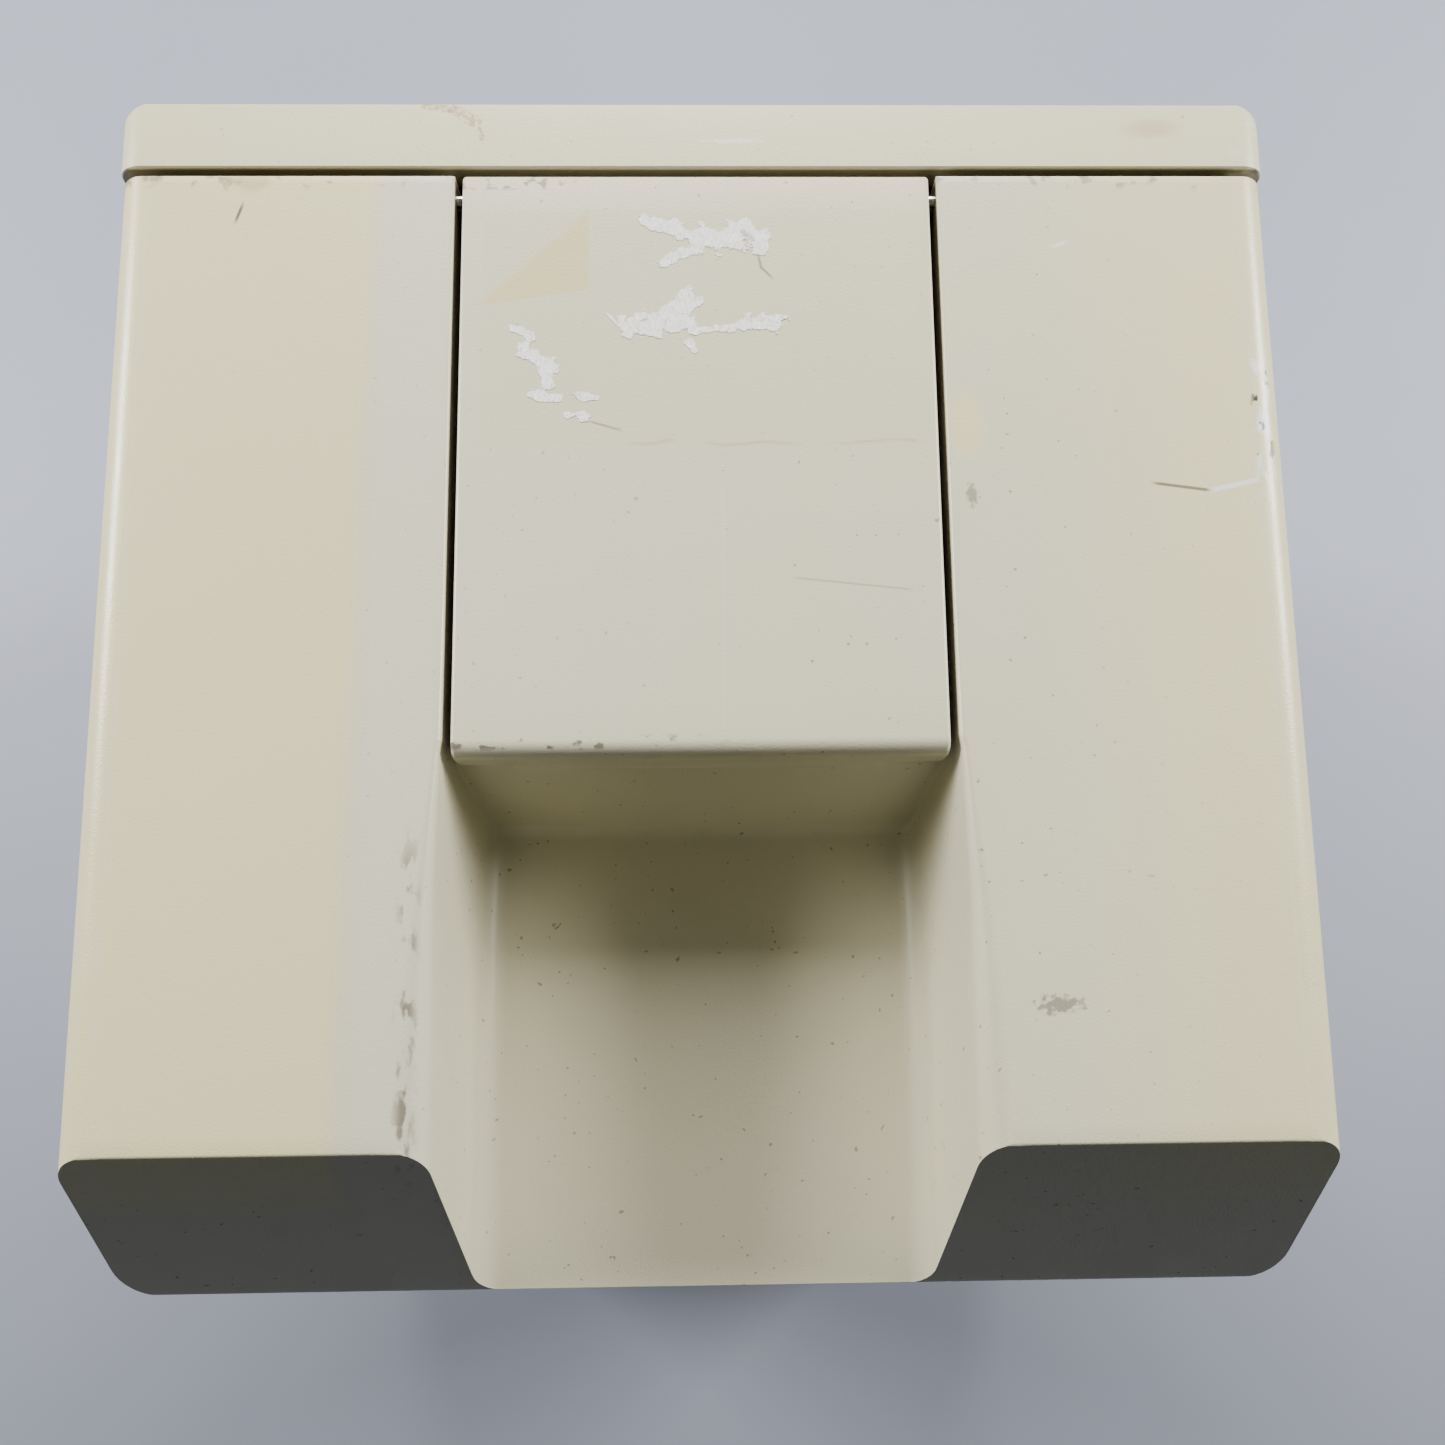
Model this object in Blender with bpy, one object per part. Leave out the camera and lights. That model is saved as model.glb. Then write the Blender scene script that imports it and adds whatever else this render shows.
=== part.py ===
"""Desktop computer tower: a square case whose four removable-media bays face up under a hinged lid.

Metres, +Z up.  The front is -Y and the origin lies under the middle of the case, on the table.
"""

import math

import bmesh
import bpy
from mathutils import Matrix, Vector

# Driving sizes of the case
WIDTH = 0.380
HEIGHT = 0.500
TOP_LENGTH = 0.3095
SLOPE_RUN = 0.0516
SLOPE_DROP = 0.0655
REAR_GAP = 0.0029
BEZEL_DEPTH = 0.0233
BEZEL_PROUD = 0.0009
EDGE_RADIUS = 0.0106
HOOD_WALL = 0.0035
HOOD_SKIRT = 0.008

# Channel in the top of the hood, from the front up to the bulkhead under the lid
CHANNEL_HALF = 0.0821
CHANNEL_DEPTH = 0.0650
CHANNEL_FALL = 0.0034
CHANNEL_DRAFT = 0.1106
CHANNEL_FILLET = 0.0084
BULKHEAD_LEAN = math.tan(math.radians(18))
BULKHEAD_SETBACK = 0.1182

# Lid over the drive faces
LID_HALF = 0.0768
LID_SLOT = 0.0026
LID_SETBACK = 0.1159
LID_PLATE = 0.003
LID_FRONT_DROP = 0.0156
LID_SIDE_DROP = 0.008
LID_NOSE_RADIUS = 0.0055
LID_HINGE_RADIUS = 0.006
LIP_HALF = 0.0508
LIP_DROP = 0.002
LIP_REACH = 0.0014
PIN_RADIUS = 0.002
BUMPER_INSET = 0.0168
BUMPER_RADIUS = 0.004
BUMPER_TALL = 0.0025
LEDGE_GAP = 0.0009
WELL_DEPTH = 0.050

# Panels, chassis and feet
GAP = 0.0003
SEAM = 0.0006
PANEL_INSET = 0.0005
PANEL_SHEET = 0.002
FRONT_RECESS = 0.0015
FRONT_DEPTH = 0.029
FRONT_WALL = 0.003
STEEL = 0.0012
FOOT_HEIGHT = 0.012
FOOT_RADIUS = 0.014
TRAY_HEIGHT = 0.022
VENT_ROWS = (0.075, 0.330)
VENT_TALL = 0.045
INTAKE_ROWS = (0.040, 0.130)
INTAKE_HALF = 0.080
REAR_PLATE_RECESS = 0.012

# Drive bays: half-height 5.25 inch devices standing on end
BAY_PITCH = 0.0423
BAY_COUNT = 4
BAY_FIRST_SETBACK = 0.1255
FACE_HALF = 0.074
FACE_RISE = 0.004
DRIVE_HALF = 0.073
DRIVE_SPACE = 0.001
DRIVE_LENGTH = 0.203
FLOPPY_HALF = 0.0508
FLOPPY_THICK = 0.0254
FLOPPY_LENGTH = 0.150

# Power supply, fans and boards
SUPPLY_SIZE = (0.086, 0.140, 0.150)
SUPPLY_DROP = 0.1565
SUPPLY_FAN = 0.080
REAR_FAN = 0.092
FAN_DEPTH = 0.020
BOARD_SIZE = (0.0016, 0.305, 0.244)
STANDOFF = 0.0093
CARD_SIZE = (0.100, 0.170, 0.0016)
CARD_PITCH = 0.02032
SLOT_COUNT = 3
MEMORY_COUNT = 2
HARD_DRIVE_SIZE = (0.1016, 0.147, 0.0261)

# Front controls
BUTTON_SIZE = (0.026, 0.012)
BUTTON_PROUD = 0.001
BUTTON_TRAVEL = 0.0025
RESET_RADIUS = 0.004
LOCK_RADIUS = 0.0075

# Places that follow from the sizes
DEPTH = SLOPE_RUN + TOP_LENGTH + REAR_GAP + BEZEL_DEPTH
FRONT_Y = -DEPTH / 2
REAR_Y = DEPTH / 2
TOP_Y = FRONT_Y + SLOPE_RUN
HOOD_REAR_Y = TOP_Y + TOP_LENGTH
BEZEL_Y = HOOD_REAR_Y + REAR_GAP
RIM_Z = HEIGHT - SLOPE_DROP
HOOD_Z = RIM_Z - HOOD_SKIRT
PANEL_X = WIDTH / 2 - PANEL_INSET
PANEL_IN_X = PANEL_X - PANEL_SHEET
PANEL_TOP_Z = HOOD_Z - SEAM
TRAY_Z = FOOT_HEIGHT + GAP
PANEL_Z = TRAY_Z + 0.002
FRONT_FACE_Y = FRONT_Y + FRONT_RECESS
FRONT_BACK_Y = FRONT_FACE_Y + FRONT_DEPTH
REAR_PLATE_Y = REAR_Y - REAR_PLATE_RECESS
REAR_INNER_Y = REAR_PLATE_Y - STEEL
TRAY_FLOOR_Z = TRAY_Z + STEEL
TRAY_REAR_Y = BEZEL_Y - GAP
CROSS_Y = FRONT_BACK_Y + 0.012

OPENING_HALF = LID_HALF + LID_SLOT
BULKHEAD_Y = TOP_Y + BULKHEAD_SETBACK
BULKHEAD_TOP_Z = HEIGHT - LID_FRONT_DROP
LEDGE_Z = BULKHEAD_TOP_Z - LEDGE_GAP
LID_FRONT_Y = TOP_Y + LID_SETBACK
HINGE_Y = HOOD_REAR_Y - LID_HINGE_RADIUS
HINGE_Z = HEIGHT - LID_HINGE_RADIUS
WELL_Z = HEIGHT - WELL_DEPTH
WELL_UNDER_Z = WELL_Z - HOOD_WALL
FACE_Z = WELL_Z + FACE_RISE
BAYS_Y = TOP_Y + BAY_FIRST_SETBACK
DRIVE_THICK = BAY_PITCH - DRIVE_SPACE
CAGE_HALF = DRIVE_HALF + GAP
CAGE_Z = FACE_Z - DRIVE_LENGTH
CAGE_TOP_Z = WELL_UNDER_Z - GAP
BOARD_PLATE_X = PANEL_IN_X - 2 * GAP - 2 * STEEL
BOARD_X = BOARD_PLATE_X - STANDOFF - GAP - BOARD_SIZE[0] / 2
BOARD_Y = REAR_INNER_Y - 0.0025 - BOARD_SIZE[1]
BOARD_Z = 0.048
BOARD_FACE_X = BOARD_X - BOARD_SIZE[0] / 2 - GAP
CARD_X = BOARD_FACE_X - 0.0032
CARD_Y = REAR_INNER_Y - 0.0018 - CARD_SIZE[1]
CARD_Z = 0.075
PORT_Z = BOARD_Z + 0.188
PORT_TALL = 0.048
RIBBON_Z = BOARD_Z + 0.115

SIDES = (-1, 1)
HANDS = ("left", "right")
CIRCLE = 24


def wipe_scene():
    """Start from an empty scene with one collection for the parts and one for the cutters."""
    for thing in list(bpy.data.objects):
        bpy.data.objects.remove(thing, do_unlink=True)
    made = []
    for name in ("computer_tower", "cutters"):
        group = bpy.data.collections.new(name)
        bpy.context.scene.collection.children.link(group)
        made.append(group)
    return made


PARTS, CUTTERS = wipe_scene()


def finish(name, colour, roughness, metallic=0.0):
    """A Principled material with one colour."""
    made = bpy.data.materials.new(name)
    made.use_nodes = True
    shader = made.node_tree.nodes["Principled BSDF"]
    shader.inputs["Base Color"].default_value = (*colour, 1.0)
    shader.inputs["Roughness"].default_value = roughness
    shader.inputs["Metallic"].default_value = metallic
    return made


BEIGE = ((0.60, 0.58, 0.50), 0.55)
BEIGE_DARK = ((0.42, 0.40, 0.34), 0.6)
BLACK_PLASTIC = ((0.02, 0.02, 0.022), 0.5)
RUBBER = ((0.03, 0.03, 0.03), 0.9)
ZINC = ((0.55, 0.57, 0.58), 0.38, 0.9)
BRIGHT_STEEL = ((0.7, 0.7, 0.7), 0.25, 1.0)
ALUMINIUM = ((0.75, 0.76, 0.77), 0.4, 1.0)
BOARD_GREEN = ((0.02, 0.16, 0.07), 0.45)
CHIP_BLACK = ((0.03, 0.03, 0.03), 0.6)
CABLE_GREY = ((0.35, 0.36, 0.38), 0.6)
LENS_GREEN = ((0.05, 0.55, 0.12), 0.2)


def from_bmesh(shape):
    """Turn an edit mesh into a mesh with its faces pointing out."""
    bmesh.ops.recalc_face_normals(shape, faces=shape.faces)
    mesh = bpy.data.meshes.new("shape")
    shape.to_mesh(mesh)
    shape.free()
    return mesh


def blocks(*boxes):
    """Boxes, each (x0, x1, y0, y1, z0, z1), as one mesh of separate solids."""
    shape = bmesh.new()
    for x0, x1, y0, y1, z0, z1 in boxes:
        middle = Matrix.Translation(((x0 + x1) / 2, (y0 + y1) / 2, (z0 + z1) / 2))
        bmesh.ops.create_cube(shape, size=1, matrix=middle @ Matrix.Diagonal((x1 - x0, y1 - y0, z1 - z0, 1)))
    return from_bmesh(shape)


TURNED = {
    "X": Matrix.Rotation(math.pi / 2, 4, "Y"),
    "Y": Matrix.Rotation(-math.pi / 2, 4, "X"),
    "Z": Matrix(),
}


def rods(axis, *ends, sides=CIRCLE):
    """Round bars along an axis, each (start point, length, radius), as one mesh of separate solids."""
    shape = bmesh.new()
    along = TURNED[axis] @ Vector((0, 0, 1))
    for start, length, radius in ends:
        middle = Matrix.Translation(Vector(start) + along * length / 2) @ TURNED[axis]
        bmesh.ops.create_cone(
            shape, cap_ends=True, segments=sides, radius1=radius, radius2=radius, depth=length, matrix=middle
        )
    return from_bmesh(shape)


DRAWN = {
    "X": Matrix(((0, 0, 1, 0), (1, 0, 0, 0), (0, 1, 0, 0), (0, 0, 0, 1))),
    "Y": Matrix(((1, 0, 0, 0), (0, 0, -1, 0), (0, 1, 0, 0), (0, 0, 0, 1))),
    "Z": Matrix(),
}


def prism(outline, axis, low, high):
    """A flat outline pulled along an axis: (y, z) along X, (x, z) along Y or (x, y) along Z."""
    curve = bpy.data.curves.new("outline", "CURVE")
    curve.dimensions = "2D"
    curve.fill_mode = "BOTH"
    curve.extrude = (high - low) / 2
    spline = curve.splines.new("POLY")
    spline.points.add(len(outline) - 1)
    for point, (across, up) in zip(spline.points, outline):
        point.co = (across, up, 0, 1)
    spline.use_cyclic_u = True
    drawing = bpy.data.objects.new("outline", curve)
    CUTTERS.objects.link(drawing)
    evaluated = drawing.evaluated_get(bpy.context.evaluated_depsgraph_get())
    mesh = bpy.data.meshes.new_from_object(evaluated)
    bpy.data.objects.remove(drawing)
    shape = bmesh.new()
    shape.from_mesh(mesh)
    bpy.data.meshes.remove(mesh)
    bmesh.ops.remove_doubles(shape, verts=shape.verts, dist=1e-6)
    bmesh.ops.dissolve_limit(shape, angle_limit=0.001, verts=shape.verts, edges=shape.edges)
    middle = (low + high) / 2
    shift = {"X": (middle, 0, 0), "Y": (0, middle, 0), "Z": (0, 0, middle)}[axis]
    bmesh.ops.transform(shape, matrix=Matrix.Translation(shift) @ DRAWN[axis], verts=shape.verts)
    return from_bmesh(shape)


def rounded(mesh, chosen, radius, segments=4):
    """Round the edges whose two ends both pass the test."""
    shape = bmesh.new()
    shape.from_mesh(mesh)
    edges = [edge for edge in shape.edges if chosen(edge.verts[0].co, edge.verts[1].co)]
    bmesh.ops.bevel(
        shape, geom=edges, offset=radius, segments=segments, profile=0.5, affect="EDGES", clamp_overlap=True
    )
    return from_bmesh(shape)


def part(name, mesh, look, pivot=(0, 0, 0)):
    """A sub-part: its own object and material, with its origin at the pivot."""
    mesh.transform(Matrix.Translation(-Vector(pivot)))
    mesh.shade_smooth()
    mesh.set_sharp_from_angle(angle=math.radians(35))
    made = bpy.data.objects.new(name, mesh)
    made.location = pivot
    mesh.name = name
    mesh.materials.append(finish(name, *look))
    PARTS.objects.link(made)
    return made


def tool(mesh):
    """A hidden shape for a Boolean."""
    made = bpy.data.objects.new("tool", mesh)
    made.hide_render = True
    made.display_type = "WIRE"
    CUTTERS.objects.link(made)
    return made


def carve(target, *meshes, operation="DIFFERENCE"):
    """Cut the shapes from the target, or join them to it."""
    for mesh in meshes:
        step = target.modifiers.new(operation.lower(), "BOOLEAN")
        step.solver = "EXACT"
        step.operation = operation
        step.object = mesh if isinstance(mesh, bpy.types.Object) else tool(mesh)


def weld(target, *meshes):
    """Join overlapping shapes to the target as one solid."""
    carve(target, *meshes, operation="UNION")


def inset(outline, wall):
    """The outline of a convex shape drawn anticlockwise, moved inwards by a wall."""
    moved = []
    count = len(outline)
    for index in range(count):
        before = Vector(outline[index - 1])
        here = Vector(outline[index])
        after = Vector(outline[(index + 1) % count])
        first = (here - before).normalized()
        second = (after - here).normalized()
        normal = Vector((-first.y, first.x)) + Vector((-second.y, second.x))
        moved.append(here + normal * wall / (normal.length_squared / 2))
    return [tuple(point) for point in moved]


# --- hood -------------------------------------------------------------------------------------


def channel_tool(grow):
    """The channel as a solid, grown by a wall: sloped sides, filleted floor and a leaning far end."""
    floor_z = HEIGHT - CHANNEL_DEPTH - grow
    top_z = HEIGHT + 0.01
    half = [(CHANNEL_HALF + (top_z - HEIGHT) * CHANNEL_DRAFT + grow, top_z)]
    foot_x = CHANNEL_HALF - CHANNEL_DEPTH * CHANNEL_DRAFT + grow
    radius = max(CHANNEL_FILLET - grow, 0.002)
    for step in range(5):
        turn = math.radians(90 * step / 4)
        side = foot_x - radius * (1 - math.cos(turn))
        rise = radius * (1 - math.sin(turn))
        half.append((side + CHANNEL_DRAFT * rise, floor_z + rise))
    outline = half + [(-x, z) for x, z in reversed(half)]
    start_y = FRONT_Y - 0.02
    shape = bmesh.new()
    shape.from_mesh(prism(outline, "Y", start_y, BULKHEAD_Y))
    everything = shape.verts[:] + shape.edges[:] + shape.faces[:]
    bmesh.ops.bisect_plane(shape, geom=everything, plane_co=(0, 0, BULKHEAD_TOP_Z), plane_no=(0, 0, 1))
    for vertex in shape.verts:
        if vertex.co.y < (start_y + BULKHEAD_Y) / 2:
            continue
        if vertex.co.z < BULKHEAD_TOP_Z - 0.03:
            vertex.co.z -= CHANNEL_FALL
        vertex.co.y = BULKHEAD_Y + grow - max(0.0, BULKHEAD_TOP_Z - vertex.co.z) * BULKHEAD_LEAN
    return from_bmesh(shape)


def make_hood():
    """Moulded cover: two shoulders with sloped fronts, the channel between and the well under the lid."""
    profile = [
        (FRONT_Y, HOOD_Z),
        (HOOD_REAR_Y, HOOD_Z),
        (HOOD_REAR_Y, HEIGHT),
        (TOP_Y, HEIGHT),
        (FRONT_Y, RIM_Z),
    ]
    outside = prism(profile, "X", -WIDTH / 2, WIDTH / 2)
    edge_x = WIDTH / 2 - 0.001

    def side_edge(a, b):
        on_side = abs(a.x) > edge_x and abs(b.x) > edge_x and a.x * b.x > 0
        rear = min(a.y, b.y) > HOOD_REAR_Y - 0.001
        bottom = max(a.z, b.z) < HOOD_Z + 0.001
        return on_side and not rear and not bottom

    hood = part("hood", rounded(outside, side_edge, EDGE_RADIUS), BEIGE)
    hollow = [(y, z) for y, z in inset(profile, HOOD_WALL)]
    hollow[0] = (hollow[0][0], HOOD_Z - 0.01)
    hollow[1] = (HOOD_REAR_Y + 0.01, HOOD_Z - 0.01)
    hollow[2] = (HOOD_REAR_Y + 0.01, hollow[2][1])
    inner_x = WIDTH / 2 - HOOD_WALL
    cavity = prism(hollow, "X", -inner_x, inner_x)

    def cavity_edge(a, b):
        on_side = abs(a.x) > inner_x - 0.001 and abs(b.x) > inner_x - 0.001 and a.x * b.x > 0
        return on_side and min(a.y, b.y) < HOOD_REAR_Y and max(a.z, b.z) > HOOD_Z

    cavity = tool(rounded(cavity, cavity_edge, EDGE_RADIUS - HOOD_WALL))
    well_half = OPENING_HALF + HOOD_WALL
    carve(cavity, channel_tool(HOOD_WALL))
    carve(cavity, blocks((-well_half, well_half, BULKHEAD_Y, HOOD_REAR_Y, WELL_UNDER_Z, HEIGHT + 0.01)))
    carve(
        hood,
        channel_tool(0.0),
        blocks((-OPENING_HALF, OPENING_HALF, LID_FRONT_Y - 0.004, REAR_Y, LEDGE_Z, HEIGHT + 0.01)),
        blocks(
            (
                -OPENING_HALF,
                OPENING_HALF,
                BULKHEAD_Y + HOOD_WALL,
                HOOD_REAR_Y - HOOD_WALL,
                WELL_Z,
                HEIGHT + 0.02,
            )
        ),
        blocks(
            (
                -FACE_HALF - GAP,
                FACE_HALF + GAP,
                BAYS_Y - GAP,
                BAYS_Y + BAY_COUNT * BAY_PITCH + GAP,
                WELL_UNDER_Z - 0.01,
                WELL_Z + 0.01,
            )
        ),
        cavity,
        rods("X", ((-well_half - 0.01, HINGE_Y, HINGE_Z), 2 * well_half + 0.02, PIN_RADIUS + GAP), sides=16),
    )


# --- lid --------------------------------------------------------------------------------------


def arc(centre, radius, start, end, steps):
    """Points on an arc, angles in degrees."""
    turns = [math.radians(start + (end - start) * step / steps) for step in range(steps + 1)]
    return [(centre[0] + radius * math.cos(turn), centre[1] + radius * math.sin(turn)) for turn in turns]


def make_lid():
    """Moulded lid: a plate with turned-down sides, a rounded nose, a hinge roll and a finger lip."""
    flange_z = HEIGHT - LID_FRONT_DROP
    profile = [(LID_FRONT_Y + LID_PLATE, flange_z), (LID_FRONT_Y + LID_PLATE, HEIGHT - LID_SIDE_DROP)]
    profile += [(HINGE_Y - LID_HINGE_RADIUS - 0.002, HEIGHT - LID_SIDE_DROP)]
    profile += arc((HINGE_Y, HINGE_Z), LID_HINGE_RADIUS, -120, 90, 10)
    nose = (LID_FRONT_Y + LID_NOSE_RADIUS, HEIGHT - LID_NOSE_RADIUS)
    profile += arc(nose, LID_NOSE_RADIUS, 90, 180, 5)
    profile += [(LID_FRONT_Y, flange_z)]
    pivot = (0, HINGE_Y, HINGE_Z)
    lid = part("lid", prism(profile, "X", -LID_HALF, LID_HALF), BEIGE, pivot)
    lip = [
        (-LIP_HALF, LID_FRONT_Y + 0.001),
        (-LIP_HALF + 0.006, LID_FRONT_Y - LIP_REACH),
        (LIP_HALF - 0.006, LID_FRONT_Y - LIP_REACH),
        (LIP_HALF, LID_FRONT_Y + 0.001),
    ]
    weld(lid, prism(lip, "Z", flange_z - LIP_DROP, flange_z + 0.003))
    under = LID_HALF - LID_PLATE
    back_y = HINGE_Y - LID_HINGE_RADIUS - 0.001
    hole = HEIGHT - LID_PLATE
    carve(lid, blocks((-under, under, LID_FRONT_Y + LID_PLATE, back_y, flange_z - 0.01, hole)))
    bore = ((-LID_HALF - 0.01, HINGE_Y, HINGE_Z), 2 * LID_HALF + 0.02, PIN_RADIUS + GAP)
    carve(lid, rods("X", bore, sides=16))
    pin_end = LID_HALF + LID_SLOT + HOOD_WALL
    pin = rods("X", ((-pin_end, HINGE_Y, HINGE_Z), 2 * pin_end, PIN_RADIUS), sides=16)
    part("lid_hinge_pin", pin, BRIGHT_STEEL, pivot)
    for side, hand in zip(SIDES, HANDS):
        place = (side * (LID_HALF - BUMPER_INSET), LID_FRONT_Y + 0.0105, hole - GAP - BUMPER_TALL)
        part("lid_bumper_" + hand, rods("Z", (place, BUMPER_TALL, BUMPER_RADIUS), sides=16), RUBBER, pivot)


# --- outer panels -----------------------------------------------------------------------------


def slot_rows(low, high, count, fill):
    """Starts and ends of evenly spaced slots between two limits."""
    pitch = (high - low) / count
    return [(low + pitch * index, low + pitch * (index + fill)) for index in range(count)]


def control_places():
    """Centre of each front control: power button, reset button, key lock and the two lamps."""
    z = PANEL_TOP_Z - 0.033
    return {
        "power": (0.135, z),
        "reset": (0.100, z),
        "lock": (-0.135, z),
        "lamps": ((0.160, z + 0.0035), (0.160, z - 0.0035)),
    }


def make_front_panel():
    """Moulded front below the hood, with the air intake and the holes for the controls."""
    outside = blocks((-PANEL_X, PANEL_X, FRONT_FACE_Y, FRONT_BACK_Y, PANEL_Z, PANEL_TOP_Z))

    def front_corner(a, b):
        upright = abs(a.x - b.x) < 1e-4 and abs(a.y - b.y) < 1e-4
        return upright and a.y < FRONT_FACE_Y + 1e-3

    panel = part("front_panel", rounded(outside, front_corner, EDGE_RADIUS - FRONT_RECESS), BEIGE)
    inner_x = PANEL_X - FRONT_WALL
    room = blocks(
        (
            -inner_x,
            inner_x,
            FRONT_FACE_Y + FRONT_WALL,
            FRONT_BACK_Y + 0.01,
            PANEL_Z + FRONT_WALL,
            PANEL_TOP_Z - FRONT_WALL,
        )
    )

    def room_corner(a, b):
        upright = abs(a.x - b.x) < 1e-4 and abs(a.y - b.y) < 1e-4
        return upright and a.y < FRONT_FACE_Y + FRONT_WALL + 1e-3

    carve(panel, rounded(room, room_corner, EDGE_RADIUS - FRONT_RECESS - FRONT_WALL))
    slots = []
    for z0, z1 in slot_rows(*INTAKE_ROWS, 9, 0.5):
        slots.append((-INTAKE_HALF, -FRONT_WALL, FRONT_FACE_Y - 0.01, FRONT_FACE_Y + 0.01, z0, z1))
        slots.append((FRONT_WALL, INTAKE_HALF, FRONT_FACE_Y - 0.01, FRONT_FACE_Y + 0.01, z0, z1))
    carve(panel, blocks(*slots))
    places = control_places()
    x, z = places["power"]
    wide, tall = BUTTON_SIZE[0] / 2 + 0.0004, BUTTON_SIZE[1] / 2 + 0.0004
    holes = [(x - wide, x + wide, FRONT_FACE_Y - 0.01, FRONT_FACE_Y + 0.01, z - tall, z + tall)]
    for x, z in places["lamps"]:
        window = (x - 0.0043, x + 0.0043, FRONT_FACE_Y - 0.01, FRONT_FACE_Y + 0.01)
        holes.append((*window, z - 0.0018, z + 0.0018))
    carve(panel, blocks(*holes))
    round_holes = []
    for key, radius in (("reset", RESET_RADIUS), ("lock", LOCK_RADIUS)):
        x, z = places[key]
        round_holes.append(((x, FRONT_FACE_Y - 0.01, z), 0.02, radius + 0.0004))
    carve(panel, rods("Y", *round_holes))


def make_side_panels():
    """Painted steel sides with two rows of vents."""
    for side, name in zip(SIDES, ("left_side_panel", "right_side_panel")):
        faces = sorted((side * PANEL_X, side * PANEL_IN_X))
        panel = part(
            name, blocks((*faces, FRONT_BACK_Y + SEAM, BEZEL_Y - SEAM, PANEL_Z, PANEL_TOP_Z)), BEIGE
        )
        vents = []
        for y0, y1 in slot_rows(-0.090, 0.110, 16, 0.4):
            for z in VENT_ROWS:
                vents.append((faces[0] - 0.01, faces[1] + 0.01, y0, y1, z, z + VENT_TALL))
        carve(panel, blocks(*vents))


def make_rear_bezel():
    """Moulded frame round the back of the case, a little wider than the hood."""
    half = WIDTH / 2 + BEZEL_PROUD
    outside = blocks((-half, half, BEZEL_Y, REAR_Y, TRAY_Z, HEIGHT))

    def outer_edge(a, b):
        along = abs(a.y - b.y) > 0.01 and min(a.z, b.z) > HEIGHT - 0.001
        upright = abs(a.z - b.z) > 0.1 and min(a.y, b.y) > REAR_Y - 0.001
        across = abs(a.x - b.x) > 0.1 and min(a.y, b.y) > REAR_Y - 0.001 and min(a.z, b.z) > HEIGHT - 0.001
        return along or upright or across

    bezel = part("rear_bezel", rounded(outside, outer_edge, 0.009), BEIGE)
    inner = half - HOOD_WALL
    carve(
        bezel,
        blocks((-inner, inner, BEZEL_Y - 0.01, REAR_Y + 0.01, TRAY_Z + HOOD_WALL, HEIGHT - HOOD_WALL)),
    )


# --- chassis ----------------------------------------------------------------------------------


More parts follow.
